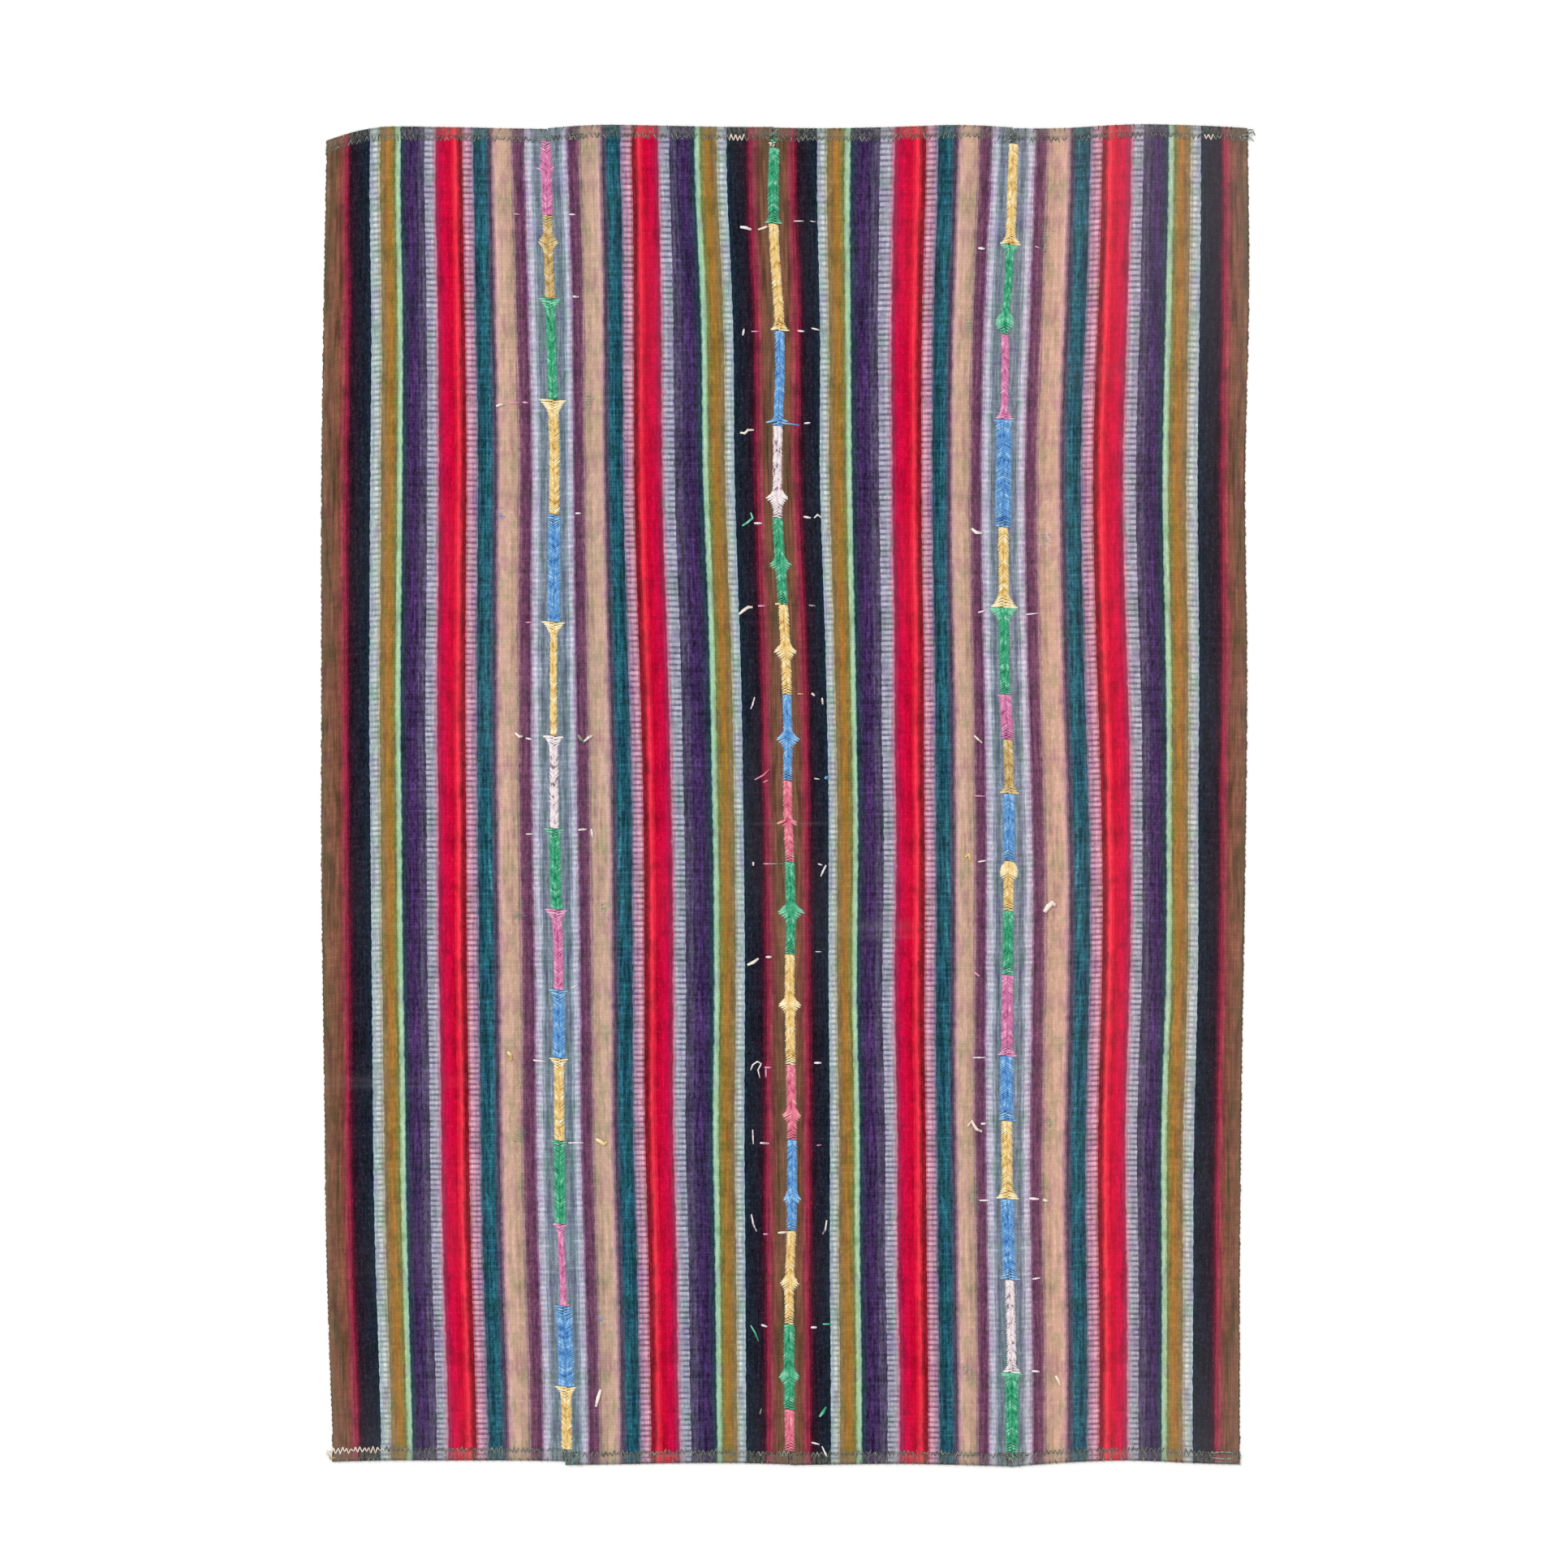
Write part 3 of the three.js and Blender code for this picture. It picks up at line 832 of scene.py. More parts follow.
def striped_wool():
    """Warp-faced cloth of hand-spun wool: matt ribs across the stripes, streaky along them."""
    material, tree, shader = new_material("warp-faced striped wool cloth")
    warp = add(tree, "ShaderNodeUVMap", uv_map="warp")
    place = add(tree, "ShaderNodeSeparateXYZ", {0: warp})
    across, along = place.outputs["X"], place.outputs["Y"]

    # Stripe edges waver by about a yarn's width
    waver = add(
        tree, "ShaderNodeMapRange",
        {"Value": stretched_noise(tree, warp, "waver"),
         "To Min": -STRIPE_WAVER * MM, "To Max": STRIPE_WAVER * MM},
    )
    wavered = add(tree, "ShaderNodeMath", {0: across, 1: waver}, operation="ADD")
    yarn, uneven_share = stripe_colour(tree, wavered, 1, 4)
    second_yarn, rung_share = stripe_colour(tree, wavered, 2, 3)

    # Yarns run lengthwise, so streaks of light and of hue are long and thin. Mottles are tufts of
    # several floats.
    streaks = stretched_noise(tree, warp, "streaks")
    hue_streaks = stretched_noise(tree, warp, "hue streaks")
    mottles = stretched_noise(tree, warp, "mottles")

    # Single floats of yarn over one pick, each pick's half a float to the side of the last one's
    pick_number = add(tree, "ShaderNodeMath", {0: along, 1: PICK * MM}, operation="DIVIDE")
    nearest_pick = add(tree, "ShaderNodeMath", {0: pick_number}, operation="ROUND")
    odd_pick = add(tree, "ShaderNodeMath", {0: nearest_pick, 1: 2.0}, operation="MODULO")
    stagger = add(tree, "ShaderNodeMath", {0: odd_pick, 1: 0.5}, operation="MULTIPLY")
    float_number = add(
        tree, "ShaderNodeMath", {0: across, 1: 1 / (FLOAT_WIDTH * MM), 2: stagger},
        operation="MULTIPLY_ADD",
    )
    whole_float = add(tree, "ShaderNodeMath", {0: float_number}, operation="FLOOR")
    float_cell = add(tree, "ShaderNodeCombineXYZ", {"X": whole_float, "Y": nearest_pick})
    float_tone = add(tree, "ShaderNodeTexWhiteNoise", {"Vector": float_cell}, noise_dimensions="2D")

    # Flecks: the second yarn shows where mottles, single floats and streaks add up
    second = add(tree, "ShaderNodeAttribute", attribute_name="second")
    fleck_sum = mottles
    for value, weight in ((float_tone, 0.28), (hue_streaks, 1.8), (second.outputs["Fac"], 0.4)):
        fleck_sum = add(
            tree, "ShaderNodeMath", {0: value, 1: weight, 2: fleck_sum}, operation="MULTIPLY_ADD"
        )
    flecks = add(tree, "ShaderNodeMapRange", {"Value": fleck_sum, "From Min": 1.45, "From Max": 2.15})

    # Rungs: the two yarns take turns on top, pick by pick, where a stripe was warped with both.
    # Here and there they are felted together, and each pick lets more or less of the dark one show.
    pick_along = add(tree, "ShaderNodeMath", {0: nearest_pick, 1: PICK * MM}, operation="MULTIPLY")
    pick_place = add(tree, "ShaderNodeCombineXYZ", {"X": across, "Y": pick_along})
    rung_base = add(
        tree, "ShaderNodeMapRange",
        {"Value": stretched_noise(tree, pick_place, "rungs"),
         "From Min": 0.3, "From Max": 0.7, "To Min": 0.25, "To Max": 0.7},
    )
    turn = add(tree, "ShaderNodeMath", {0: pick_number, 1: math.pi}, operation="MULTIPLY")
    wave = add(tree, "ShaderNodeMath", {0: turn}, operation="COSINE")
    rung = add(
        tree, "ShaderNodeMapRange",
        {"Value": wave, "From Min": -0.2, "From Max": 0.75, "To Min": -0.45, "To Max": 0.5},
        interpolation_type="SMOOTHSTEP",
    )
    rung_strength = add(
        tree, "ShaderNodeMapRange",
        {"Value": stretched_noise(tree, warp, "felted rungs"),
         "From Min": 0.3, "From Max": 0.66, "To Min": 0.35, "To Max": 1.4},
    )
    rungs = add(
        tree, "ShaderNodeMath", {0: rung, 1: rung_strength, 2: rung_base}, operation="MULTIPLY_ADD"
    )
    second_share = add(tree, "ShaderNodeMix", {"Factor": rung_share, 2: flecks, 3: rungs})
    dyed = add(
        tree, "ShaderNodeMix", {"Factor": second_share, 6: yarn, 7: second_yarn}, data_type="RGBA"
    ).outputs[2]

    # Uneven dye, picks beaten in a little harder than others, and shade where the yarns dip between
    # ribs. Columns: value, its lowest and highest, and the light it lets through there
    rib_turn = add(tree, "ShaderNodeMath", {0: turn, 1: 2.0}, operation="MULTIPLY")
    rib_wave = add(tree, "ShaderNodeMath", {0: rib_turn}, operation="COSINE")
    tones = (
        (streaks, 0.25, 0.75, 0.68, 1.32),
        (mottles, 0.25, 0.75, 0.66, 1.34),
        (float_tone, 0.0, 1.0, 0.9, 1.1),
        (stretched_noise(tree, pick_place, "picks"), 0.25, 0.75, 0.92, 1.08),
        (rib_wave, -1.0, 1.0, 0.92, 1.03),
    )
    light = 1.0
    for value, lowest, highest, darkest, lightest in tones:
        tone = add(
            tree, "ShaderNodeMapRange",
            {"Value": value, "From Min": lowest, "From Max": highest,
             "To Min": darkest, "To Max": lightest},
        )
        light = add(tree, "ShaderNodeMath", {0: light, 1: tone}, operation="MULTIPLY")

    # Each stripe has its own share of that unevenness, doubled because the table's shares end at 1
    unevenness = add(tree, "ShaderNodeMath", {0: uneven_share, 1: 2.0}, operation="MULTIPLY")
    light = add(tree, "ShaderNodeMix", {"Factor": unevenness, 2: 0.98, 3: light}, clamp_factor=False)
    light = add(tree, "ShaderNodeMath", {0: light, 1: 0.3}, operation="MAXIMUM")
    lit = add(tree, "ShaderNodeVectorMath", {0: dyed, "Scale": light}, operation="SCALE")
    tree.links.new(aged_wool(tree, warp, dyed, lit, mottles), shader.inputs["Base Color"])

    # Relief of the single floats and of their fibres
    float_turn = add(tree, "ShaderNodeMath", {0: float_number, 1: math.pi}, operation="MULTIPLY")
    float_wave = add(tree, "ShaderNodeMath", {0: float_turn}, operation="SINE")
    float_round = add(tree, "ShaderNodeMath", {0: float_wave}, operation="ABSOLUTE")
    relief = add(
        tree, "ShaderNodeMath",
        {0: float_round, 1: 0.5, 2: stretched_noise(tree, warp, "fibres")},
        operation="MULTIPLY_ADD",
    )
    bump = add(tree, "ShaderNodeBump", {"Strength": 0.6, "Distance": 0.35 * MM, "Height": relief})
    tree.links.new(bump.outputs[0], shader.inputs["Normal"])
    return material


def embroidery_wool(name, shades):
    """Thick two-ply wool: each stitch a little lighter or darker, with its plies twisted round it."""
    main, pale, dark = shades
    material, tree, shader = new_material(f"{name} two-ply wool yarn")
    yarn = add(tree, "ShaderNodeUVMap", uv_map="yarn")
    place = add(tree, "ShaderNodeSeparateXYZ", {0: yarn})
    number = add(tree, "ShaderNodeMath", {0: place.outputs["Y"]}, operation="FLOOR")
    stitch_tone = add(tree, "ShaderNodeTexWhiteNoise", {"W": number}, noise_dimensions="1D")

    # The yarn was dyed unevenly along its length, so about eight stitches in a row are alike
    dye_place = add(tree, "ShaderNodeMath", {0: number, 1: 0.13}, operation="MULTIPLY")
    dye = add(
        tree, "ShaderNodeTexNoise", {"W": dye_place, "Scale": 1.0, "Detail": 1.0},
        noise_dimensions="1D",
    )
    dyed_stitch = add(
        tree, "ShaderNodeMix",
        {"Factor": 0.8, 2: stitch_tone.outputs["Value"], 3: dye.outputs["Fac"]},
    )

    # Wear has rubbed pale and felted streaks along the bars, over several stitches at a time
    spot = add(tree, "ShaderNodeTexCoord").outputs["Object"]
    rubbed = add(
        tree, "ShaderNodeMapRange",
        {"Value": stretched_noise(tree, spot, "rubbed stitches"),
         "From Min": 0.25, "From Max": 0.75, "To Min": -0.2, "To Max": 0.2},
    )
    shade_place = add(tree, "ShaderNodeMath", {0: dyed_stitch, 1: rubbed}, operation="ADD")
    shade = add(tree, "ShaderNodeValToRGB", {"Fac": shade_place})
    fill_ramp(
        shade.color_ramp,
        [(0.25, linear(dark)), (0.42, linear(main)), (0.56, linear(main)), (0.76, linear(pale))],
        smooth=True,
    )

    # A stitch is opened out and paler at its outer end, the more so where the bar widens
    tip = add(
        tree, "ShaderNodeMapRange",
        {"Value": place.outputs["X"], "From Min": 0.0, "From Max": 0.4, "To Min": 0.3, "To Max": 0.0},
    )
    opened = add(tree, "ShaderNodeAttribute", attribute_name="opened")
    opened_length = add(
        tree, "ShaderNodeMapRange",
        {"Value": place.outputs["X"], "From Min": 0.1, "From Max": 0.65, "To Min": 1.0, "To Max": 0.0},
    )
    opened_tip = add(
        tree, "ShaderNodeMath", {0: opened.outputs["Fac"], 1: opened_length},
        operation="MULTIPLY",
    )
    pale_share = add(tree, "ShaderNodeMath", {0: tip, 1: opened_tip}, operation="MAXIMUM")
    tipped = add(
        tree, "ShaderNodeMix",
        {"Factor": pale_share, 6: shade.outputs["Color"], 7: linear(pale)},
        data_type="RGBA",
    )

    # Painted shade: the dark shade is mixed in where the stitch dives into the groove of the join,
    # some stitches more than others, and not where the bar widens
    groove_shade_depth = add(
        tree, "ShaderNodeMapRange",
        {"Value": stitch_tone.outputs["Value"], "From Min": 0.4, "From Max": 1.0,
         "To Min": 0.1, "To Max": 0.75},
    )
    root = add(
        tree, "ShaderNodeMapRange",
        {"Value": place.outputs["X"], "From Min": 0.66, "From Max": 0.9},
    )
    stitch_groove_shade = add(tree, "ShaderNodeMath", {0: groove_shade_depth, 1: root}, operation="MULTIPLY")
    closed = add(tree, "ShaderNodeMath", {0: 1.0, 1: opened.outputs["Fac"]}, operation="SUBTRACT")
    groove_shade_share = add(tree, "ShaderNodeMath", {0: stitch_groove_shade, 1: closed}, operation="MULTIPLY")
    groove_shaded = add(
        tree, "ShaderNodeMix",
        {"Factor": groove_shade_share, 6: tipped.outputs[2], 7: linear(dark)},
        data_type="RGBA",
    )
    tree.links.new(groove_shaded.outputs[2], shader.inputs["Base Color"])

    # Two plies, one turn every 4 mm of a stitch about 9 mm long
    around = add(tree, "ShaderNodeMath", {0: place.outputs["Y"]}, operation="FRACT")
    twist = add(
        tree, "ShaderNodeMath",
        {0: place.outputs["X"], 1: 2.2, 2: around},
        operation="MULTIPLY_ADD",
    )
    twist_turn = add(tree, "ShaderNodeMath", {0: twist, 1: 4 * math.pi}, operation="MULTIPLY")
    plies = add(tree, "ShaderNodeMath", {0: twist_turn}, operation="SINE")
    bump = add(tree, "ShaderNodeBump", {"Strength": 0.6, "Distance": 0.25 * MM, "Height": plies})
    tree.links.new(bump.outputs[0], shader.inputs["Normal"])
    return material


# Meshes


def new_piece(name, mesh_builder, material):
    """A finished mesh as a smooth-shaded object at the origin."""
    mesh = bpy.data.meshes.new(name)
    mesh_builder.to_mesh(mesh)
    mesh_builder.free()
    mesh.polygons.foreach_set("use_smooth", [True] * len(mesh.polygons))
    mesh.materials.append(material)
    piece = bpy.data.objects.new(name, mesh)
    bpy.context.scene.collection.objects.link(piece)
    return piece


def places_across(facts):
    """A strip's columns from its left edge: close together at its edges, and one at each landmark."""
    marks = list(facts["landmarks"])
    if facts["brown"] == "right":
        marks = [STRIP_WIDTH - mark for mark in reversed(marks)]
    stops = [EDGE_PLACES[-1], *marks, STRIP_WIDTH - EDGE_PLACES[-1]]
    places = list(EDGE_PLACES)
    for start, end in zip(stops, stops[1:]):
        parts = math.ceil((end - start) / WIDEST_COLUMN)
        places.extend(mix(start, end, part / parts) for part in range(1, parts + 1))
    places.extend(STRIP_WIDTH - place for place in reversed(EDGE_PLACES[:-1]))
    return places


def rows_along(length, pick):
    """Rows of (distance from the bottom end, picks, rib height), a few to each pick."""
    steps = round((length - 2 * END_PLACES[-1]) / pick) * ROWS_PER_PICK
    weights = [1 + LOOSER_AT_TOP * (step / steps - 0.5) for step in range(steps)]
    scale = (length - 2 * END_PLACES[-1]) / sum(weights)
    rows = [(place, place / pick, 0.0) for place in END_PLACES[:-1]]
    distance = END_PLACES[-1]
    for step in range(steps + 1):
        crest = RIB_HEIGHT if step % ROWS_PER_PICK == 0 else -RIB_HEIGHT / 2
        rows.append((distance, step / ROWS_PER_PICK, crest))
        if step < steps:
            distance += weights[step] * scale
    last_pick = steps / ROWS_PER_PICK
    for place in reversed(END_PLACES[:-1]):
        rows.append((length - place, last_pick + (END_PLACES[-1] - place) / pick, 0.0))
    return rows


def drift_across(drift, y):
    """How far the stripes lie beyond their even places at a height: rows of (place, shift)."""
    shifts = []
    for column in range(1, len(DRIFT_PLACES) + 1):
        shifts.append(smooth_value([(row[0], row[column]) for row in drift], y))
    return [(0, 0.0), *zip(DRIFT_PLACES, shifts), (STRIP_WIDTH, 0.0)]


def rounded_thickness(thickness, distance):
    """How thick the cloth is at a distance from an edge that is rounded like a half circle."""
    radius = thickness / 2
    inward = max(radius - distance, 0.0)
    return max(2 * math.sqrt(max(radius * radius - inward * inward, 0.0)), THINNEST)


def selvedge_dent(name, side, y, picks):
    """How far an edge is drawn in between the turns of the weft, one turn to two picks."""
    turn = 0.5 - 0.5 * math.cos(math.pi * picks)
    if (name, side) in (("strip_1", "left"), ("strip_4", "right")):
        long_span, short_span = WEAR_SPANS
        long_dents = noise.noise(Vector((y / long_span, SEEDS["long wear"], 0.0)))
        short_dents = noise.noise(Vector((y / short_span, SEEDS["short wear"], 0.0)))
        wear = clamp(0.5 + long_dents + 0.5 * short_dents)
        return OUTER_SCALLOP_DEPTH * (OUTER_TURN_SHARE * turn + OUTER_WEAR_SHARE * wear)
    return SCALLOP_DEPTH * turn


def make_strip(name, facts, material):
    """One woven strip: a ribbed sheet with rounded edges, thicker where its ends are folded under."""
    outline = OUTLINES[name]
    seed = facts["seed"]
    hem_height = outline["hem_height"]
    thickest = hem_height + RIB_HEIGHT
    columns = places_across(facts)
    nominal_length = outline["top"][0][1] - outline["bottom"][0][1]
    rows = rows_along(nominal_length, facts["pick"])
    stripe_rows = [(0, 0), *zip(facts["landmarks"], LANDMARKS), (STRIP_WIDTH, STRIP_WIDTH)]
    row_drifts = [drift_across(facts["drift"], outline["bottom"][0][1] + row[0]) for row in rows]
    bows_across, bows_along = BOW_WAVES
    builder = bmesh.new()
    bmesh.ops.create_grid(builder, x_segments=len(columns) - 1, y_segments=len(rows) - 1, size=0.5)
    weights = builder.verts.layers.deform.verify()
    hem_layer = builder.verts.layers.float.new("hem")
    fade_layer = builder.verts.layers.float.new("fade")
    second_layer = builder.verts.layers.float.new("second")
    warmth_layer = builder.verts.layers.float.new("warmth")
    warp = builder.loops.layers.uv.new("warp")
    uv_places = {}
    for vertex in builder.verts:
        from_left = columns[round((vertex.co.x + 0.5) * (len(columns) - 1))]
        row_number = round((vertex.co.y + 0.5) * (len(rows) - 1))
        distance, picks, rib = rows[row_number]
        share = from_left / STRIP_WIDTH
        up_share = distance / nominal_length
        bottom_y = smooth_value(outline["bottom"], share)
        top_y = smooth_value(outline["top"], share)
        swing = math.sin(math.pi * up_share)
        bow = noise.noise(Vector((share * bows_across, up_share * bows_along, seed)))
        y = mix(bottom_y, top_y, up_share) + BOW_REACH * bow * swing
        left = smooth_value(outline["left"], y)
        right = smooth_value(outline["right"], y)
        x = mix(left, right, share)
        end_distance = min(distance, nominal_length - distance)
        side_distance = min(from_left, STRIP_WIDTH - from_left)
        if side_distance < EDGE_PLACES[-1]:
            side = "left" if share < 0.5 else "right"
            inward = 1 if side == "left" else -1
            x += inward * selvedge_dent(name, side, y, picks) * (1 - side_distance / EDGE_PLACES[-1])

        thickness = mix(CLOTH_THICKNESS + rib, hem_height + rib / 2, folded_share(end_distance))
        rounded = rounded_thickness(thickness, min(end_distance, side_distance))
        vertex.co = Vector((x, y, (thickness - rounded) / 2 + cloth_lift(x, y))) * MM
        vertex[weights][0] = rounded / thickest
        vertex[hem_layer] = clamp(1 - (end_distance - HEM_DEPTH) / (ZIGZAG_INNER - HEM_DEPTH))
        vertex[fade_layer] = cloth_fade(x, y, facts["fade"])
        vertex[warmth_layer] = facts["warmth"]
        vertex[second_layer] = facts["second"]

        from_brown = from_left if facts["brown"] == "left" else STRIP_WIDTH - from_left
        stripe_place = straight_value(stripe_rows, from_brown, 1)
        middling = math.sin(math.pi * from_brown / STRIP_WIDTH)
        wander = WANDER_REACH * uneven(from_brown, y, WANDER_SPANS, seed + SEEDS["wander"]) * middling
        wander -= straight_value(row_drifts[row_number], from_brown, 1)
        uv_places[vertex.index] = ((stripe_place + wander) * MM, picks * PICK * MM)
    for face in builder.faces:
        for loop in face.loops:
            loop[warp].uv = uv_places[loop.vert.index]
    cloth = new_piece(f"{name}_cloth", builder, material)
    cloth.vertex_groups.new(name="thickness")
    solidify = cloth.modifiers.new("thickness", "SOLIDIFY")
    solidify.thickness = thickest * MM
    solidify.offset = 1.0
    solidify.vertex_group = "thickness"
    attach(cloth, BODY)
    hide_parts(name)
    return cloth


TUBE_MESHES = {}


def tube_mesh(rungs):
    """A closed tube along Z from 0 to 1, with rungs + 1 rings, and its length and turn as a UV map."""
    if rungs not in TUBE_MESHES:
        builder = bmesh.new()
        bmesh.ops.create_cone(
            builder, cap_ends=True, segments=TUBE_SIDES, radius1=1.0, radius2=1.0, depth=1.0
        )
        bmesh.ops.translate(builder, verts=builder.verts, vec=(0, 0, 0.5))
        sides = [edge for edge in builder.edges if abs(edge.verts[0].co.z - edge.verts[1].co.z) > 0.5]
        if rungs > 1:
            bmesh.ops.subdivide_edges(builder, edges=sides, cuts=rungs - 1)

        # The turn fills V from 0.1 to 0.9, so the whole part of V can hold the yarn's number
        yarn = builder.loops.layers.uv.new("yarn")
        for face in builder.faces:
            middle = face.calc_center_median()
            face_turn = math.atan2(middle.y, middle.x) / math.tau
            for loop in face.loops:
                turn = math.atan2(loop.vert.co.y, loop.vert.co.x) / math.tau
                turn = face_turn + (turn - face_turn + 0.5) % 1.0 - 0.5
                loop[yarn].uv = (loop.vert.co.z, 0.5 + 0.8 * turn)
        mesh = bpy.data.meshes.new(f"tube_{rungs}")
        builder.to_mesh(mesh)
        builder.free()
        TUBE_MESHES[rungs] = mesh
    return TUBE_MESHES[rungs]


def new_yarn_builder():
    """An empty mesh for lengths of yarn, with the layers that their wool reads."""
    builder = bmesh.new()
    builder.loops.layers.uv.new("yarn")
    builder.verts.layers.float.new("opened")
    return builder


def add_yarn(builder, number, path, radii, flatness=1.0, opened=0.0):
    """Adds a length of yarn through the points of path, in millimetres, as thick as radii say."""
    first_vertex = len(builder.verts)
    first_face = len(builder.faces)
    rungs = len(path) - 1
    builder.from_mesh(tube_mesh(rungs))
    builder.verts.ensure_lookup_table()
    builder.faces.ensure_lookup_table()
    opened_layer = builder.verts.layers.float["opened"]
    rings = []
    for index, point in enumerate(path):
        ahead = path[min(index + 1, rungs)] - path[max(index - 1, 0)]
        side = ahead.cross(Vector((0, 0, 1))).normalized()
        rings.append((point, side, side.cross(ahead).normalized(), radii[index]))
    for vertex in builder.verts[first_vertex:]:
        point, side, up, radius = rings[round(vertex.co.z * rungs)]
        offset = side * vertex.co.x * radius + up * vertex.co.y * radius * flatness
        vertex.co = (point + offset) * MM
        vertex[opened_layer] = opened
    yarn = builder.loops.layers.uv["yarn"]
    for face in builder.faces[first_face:]:
        for loop in face.loops:
            loop[yarn].uv.y += number


def on_cloth(x, y, height):
    """A point at a height above the cloth's top face."""
    return Vector((x, y, CLOTH_THICKNESS + cloth_lift(x, y) + height))


def hem_fold(x, y):
    """How much the folded hem adds to the cloth's thickness at a place."""
    name = list(STRIPS)[sum(x > smooth_value(line, y) for line in JOIN_LINES)]
    outline = OUTLINES[name]
    left = smooth_value(outline["left"], y)
    share = clamp((x - left) / (smooth_value(outline["right"], y) - left))
    top_y = smooth_value(outline["top"], share)
    bottom_y = smooth_value(outline["bottom"], share)
    inward = min(top_y - y, y - bottom_y)
    return (outline["hem_height"] - CLOTH_THICKNESS) * folded_share(inward)


def make_bar(name, facts, chance):
    """One bar of fishbone embroidery: yarn stitches from both sides that meet on the join."""
    top, outline = bar_outline(name)
    length = outline[-1][0]
    spread = SPREADING_BARS.get(name, 0.0)
    builder = new_yarn_builder()
    count = round(length / STITCH_PITCH) * 2
    distances = [(number + 0.5) * length / count for number in range(count)]
    half_widths = [straight_value(outline, distance, 2) for distance in distances]
    body = sorted(half_widths)[count // 2]
    widest = max(half_widths)
    lowest = top - length + STITCH_INSET
    highest = top - STITCH_INSET
    last_ring = len(STITCH_HEIGHTS) - 1
    for number, (distance, half_width) in enumerate(zip(distances, half_widths)):
        side = 1 if number % 2 else -1
        if half_width > body:
            widening = (half_width - body) / (widest - body)
            half_width = mix(body, widest, widening ** WIDENING_CURVE)
        reach = half_width + spread + chance.uniform(-STITCH_JITTER, STITCH_JITTER)
        outer_y = top - distance + chance.uniform(-STITCH_JITTER, STITCH_JITTER) / 2

        # Where the slant opens out at an end of the bar, its first stitches lie flat and fill the end
        from_open_end = distance if facts["rise"] > 0 else length - distance
        slant = STITCH_SLANT * min(FIRST_SLANT + from_open_end / SLANT_GROWTH, 1.0)
        inner_y = min(max(outer_y - facts["rise"] * slant, lowest), highest)
        middle = straight_value(outline, distance, 1) + smooth_value(facts["wander"], outer_y)
        outer_x = middle + side * reach
        inner_x = middle - side * STITCH_OVERLAP
        path = []
        for ring, height in enumerate(STITCH_HEIGHTS):
            along = ring / last_ring
            path.append(on_cloth(mix(outer_x, inner_x, along), mix(outer_y, inner_y, along), height))
        opened = clamp((half_width - body) / OPENING_WIDTH)
        thickness = STITCH_RADIUS * chance.uniform(*STITCH_THICKNESSES) * (1 + OPENED_SWELL * opened)
        radii = [thickness * full for full in STITCH_FULLNESS]
        add_yarn(builder, number, path, radii, STITCH_FLATNESS, opened)
    colour = name.rsplit("_", 1)[1]
    bar = new_piece(f"{name}_stitches", builder, YARNS[colour])
    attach(bar, BODY)
    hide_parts(name)


def hem_point(name, end, share, inward, height):
    """A point over a hem: a share of the way across, and inward from the cloth's end."""
    outline = OUTLINES[name]
    y = smooth_value(outline[end], share) + (-inward if end == "top" else inward)
    x = mix(smooth_value(outline["left"], y), smooth_value(outline["right"], y), share)
    top = mix(CLOTH_THICKNESS, outline["hem_height"], folded_share(inward))
    return Vector((x, y, top + cloth_lift(x, y) + height))


def is_cream(end, x):
    return any(end == cream_end and low <= x <= high for cream_end, low, high in CREAM_STRETCHES)


def sew_zigzag(builders, end, chance):
    """Zigzag stitches along one end, over the edge that is folded under."""
    number = 0
    for name in STRIPS:
        legs = round(STRIP_WIDTH / ZIGZAG_PITCH) * 2
        corners = []
        for leg in range(legs + 1):
            inward = ZIGZAG_INNER if leg % 2 else ZIGZAG_OUTER
            share = clamp((leg + chance.uniform(-ZIGZAG_STRAY_ALONG, ZIGZAG_STRAY_ALONG)) / legs)
            inward += chance.uniform(-ZIGZAG_STRAY_INWARD, ZIGZAG_STRAY_INWARD)
            corners.append((share, inward))
        for start, finish in zip(corners, corners[1:]):
            number += 1
            first = hem_point(name, end, *start, ZIGZAG_HEIGHT)
            colour = "cream" if is_cream(end, first.x) else "sewing"
            if colour == "sewing" and chance.random() < ZIGZAG_SKIP:
                continue
            radius = CREAM_RADIUS if colour == "cream" else ZIGZAG_RADIUS
            middle = [mix(a, b, 0.5) for a, b in zip(start, finish)]
            last = hem_point(name, end, *finish, ZIGZAG_HEIGHT)
            path = [first, hem_point(name, end, *middle, radius), last]
            add_yarn(builders[colour], number, path, [radius] * 3)


def overcast(builder, end, chance):
    """Short stitches that wrap the fold at one end."""
    number = 0
    for name in STRIPS:
        place = 0.0
        while place < STRIP_WIDTH - OVERCAST_PITCH:
            place += OVERCAST_PITCH * chance.uniform(*OVERCAST_GAPS)
            share = min(place / STRIP_WIDTH, LAST_OVERCAST)
            lean = chance.uniform(-OVERCAST_LEAN, OVERCAST_LEAN) / STRIP_WIDTH
            half_height = OUTLINES[name]["hem_height"] / 2

            # From halfway down the fold's side, up round its edge, and inward until it dives in.
            # Each point's last two values are how far inward and how high it lies, in mm.
            path = [
                hem_point(name, end, share, -0.3, -half_height),
                hem_point(name, end, share, 0.5, -0.7),
                hem_point(name, end, clamp(share + lean / 2), 2.5, 0.25),
                hem_point(name, end, clamp(share + lean), chance.uniform(*OVERCAST_REACH), -0.1),
            ]
            number += 1
            add_yarn(builder, number, path, [ZIGZAG_RADIUS] * 4)


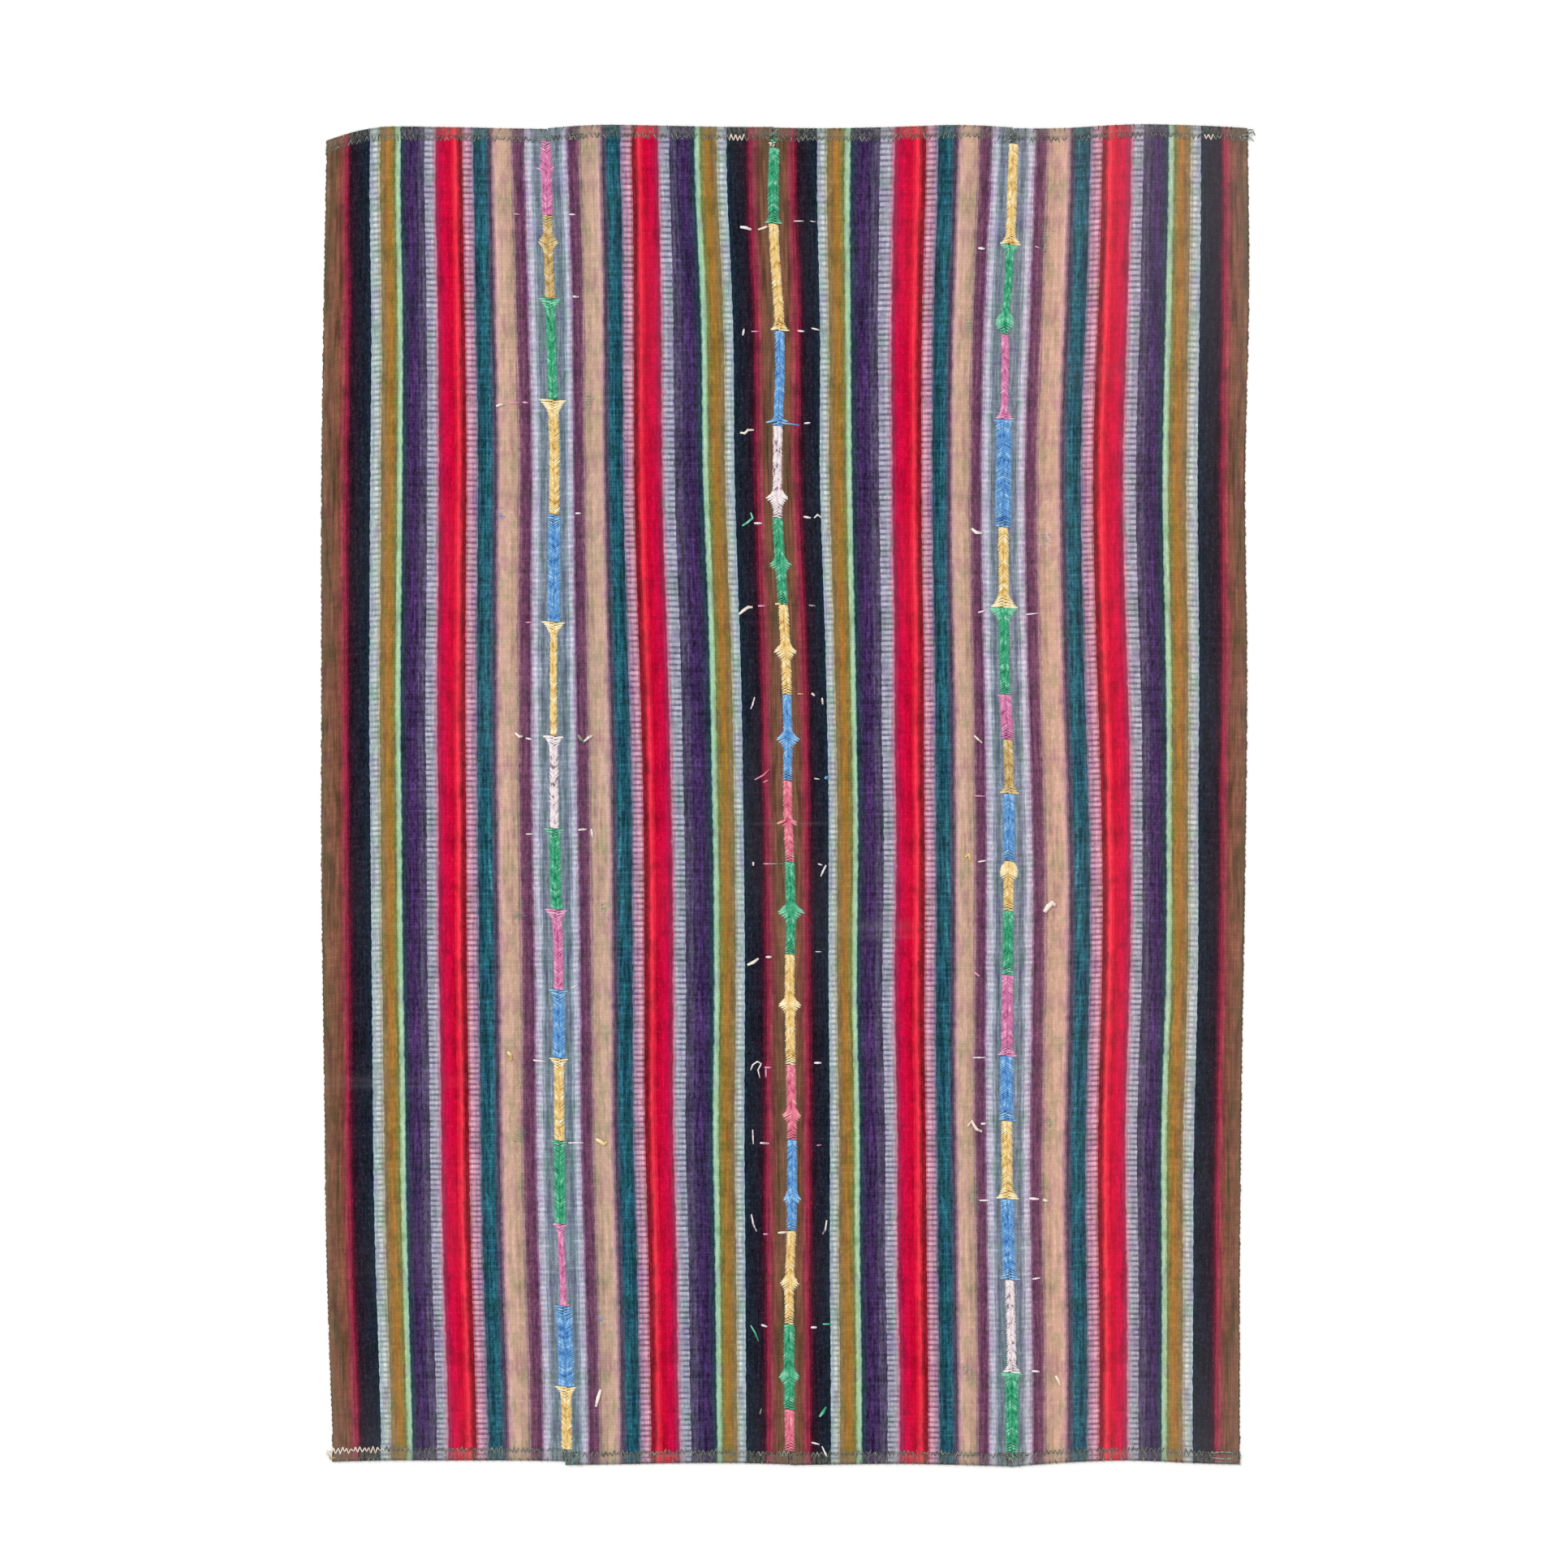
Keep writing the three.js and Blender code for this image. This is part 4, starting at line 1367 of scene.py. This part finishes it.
def lay_loose_ends(builders):
    """Cut ends of yarn beside the columns, pale where they fray, and tapered ones at the corners."""
    for number, (colour, radius, points) in enumerate(LOOSE_ENDS):
        middle = [mix(points[0][axis], points[1][axis], 0.5) for axis in (0, 1)]
        places = points if len(points) > 2 else [points[0], middle, points[1]]
        path = [on_cloth(x, y, radius * LOOSE_END_HEIGHT) for x, y in places]
        start, full, end = LOOSE_END_FULLNESS
        radii = [radius * start, *([radius * full] * (len(path) - 2)), radius * end]
        add_yarn(builders[colour], number, path, radii, opened=LOOSE_END_OPENED)
    for number, (colour, radius, points) in enumerate(CORNER_TUFTS):
        path = [Vector(point) for point in points]
        radii = [radius] * (len(path) - 1) + [radius * CORNER_TUFT_TIP]
        add_yarn(builders[colour], number, path, radii)


def shed_fluff(builders, chance):
    """Wisps of single fibres, drawn 0.6 mm thick so they show, pressed into the cloth."""
    spread_across, spread_along = FLUFF_SPREADS
    for colour, x, y in FLUFF:
        for hair in range(FLUFF_HAIRS):
            start_x = chance.gauss(x, spread_across)
            start_y = chance.gauss(y, spread_along)
            turn = chance.uniform(0, math.tau)
            length = chance.uniform(*FLUFF_LENGTHS)
            path = []
            for step in range(3):
                bend = turn + step * chance.uniform(-FLUFF_BEND, FLUFF_BEND)
                reach = length * step / 2
                hair_x = start_x + math.cos(bend) * reach
                hair_y = start_y + math.sin(bend) * reach
                path.append(on_cloth(hair_x, hair_y, FLUFF_HEIGHT))
            add_yarn(builders[colour], hair, path, FLUFF_RADII)


def fasten_off(builders, chance):
    """Short ends of yarn, heaped and pointing all ways, at the ends of the columns."""
    for colour, middle_x, middle_y, half_width, half_height, ends in TANGLES:
        for number in range(ends):
            start_x = middle_x + chance.uniform(-half_width, half_width)
            start_y = middle_y + chance.uniform(-half_height, half_height)
            turn = chance.uniform(0, math.tau)
            length = chance.uniform(*TANGLE_LENGTHS)
            path = []
            for step, height in enumerate(TANGLE_HEIGHTS):
                reach = length * (step / 2 - 0.5)
                bend = turn + TANGLE_BEND * step
                x = start_x + math.cos(bend) * reach
                y = start_y + math.sin(bend) * reach
                path.append(on_cloth(x, y, height + hem_fold(x, y)))

            # Numbers three apart, so that neighbours differ in shade
            add_yarn(builders[colour], number * 3, path, TANGLE_RADII)


# Stage, light and camera


def make_stage():
    """A plain pale floor, a broad soft light from above and to one side, and an even surround."""
    builder = bmesh.new()
    bmesh.ops.create_grid(builder, x_segments=1, y_segments=1, size=FLOOR_SIZE / 2 * MM)
    bmesh.ops.translate(builder, verts=builder.verts, vec=(0, 0, -FLOOR_DROP * MM))
    floor_paint = bpy.data.materials.new("plain pale floor")
    floor_paint.use_nodes = True
    floor_shader = floor_paint.node_tree.nodes["Principled BSDF"]
    floor_shader.inputs["Base Color"].default_value = linear("#fbfbfa")
    floor_shader.inputs["Roughness"].default_value = 0.9
    new_piece("floor", builder, floor_paint)

    lamp = bpy.data.lights.new("soft light", "AREA")
    lamp.energy = LIGHT_POWER
    lamp.size = LIGHT_SIZE
    light = bpy.data.objects.new("soft light", lamp)
    light.location = LIGHT_PLACE
    light.rotation_euler = (Vector((0, 0, 0)) - light.location).to_track_quat("-Z", "Y").to_euler()
    bpy.context.scene.collection.objects.link(light)

    world = bpy.data.worlds.new("even surround")
    world.use_nodes = True
    surround = world.node_tree.nodes["Background"]
    surround.inputs["Color"].default_value = (1.0, 1.0, 1.0, 1.0)
    surround.inputs["Strength"].default_value = SURROUND_STRENGTH
    bpy.context.scene.world = world
    bpy.context.scene.view_settings.view_transform = "Standard"


def make_camera():
    """A camera straight above, as far off as the photograph's flat view needs."""
    seen_width = IMAGE_SIZE * MM_PER_PIXEL
    lens = bpy.data.cameras.new("camera")
    lens.sensor_width = SENSOR_WIDTH
    lens.lens = SENSOR_WIDTH * CAMERA_HEIGHT / seen_width
    lens.clip_end = 50.0
    camera = bpy.data.objects.new("camera", lens)
    camera.location = Vector((*VIEW_MIDDLE, CAMERA_HEIGHT)) * MM
    bpy.context.scene.collection.objects.link(camera)
    bpy.context.scene.camera = camera


make_stage()
make_camera()

cloth_material = striped_wool()
for strip_name, strip_facts in STRIPS.items():
    strip_cloth = make_strip(strip_name, strip_facts, cloth_material)

YARNS = {name: embroidery_wool(name, shades) for name, shades in YARN_SHADES.items()}
chance = random.Random(7)
for join_name, join_facts in JOINS.items():
    bars = sorted(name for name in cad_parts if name.startswith(join_name))
    for bar_name in bars:
        make_bar(bar_name, join_facts, chance)

loose_builders = {colour: new_yarn_builder() for colour in YARN_SHADES}
for end_name in ("top", "bottom"):
    sew_zigzag(loose_builders, end_name, chance)
    overcast(loose_builders["sewing"], end_name, chance)
lay_loose_ends(loose_builders)
shed_fluff(loose_builders, chance)
fasten_off(loose_builders, chance)
for colour, builder in loose_builders.items():
    threads = new_piece(f"loose_{colour}_thread", builder, YARNS[colour])
    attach(threads, BODY)
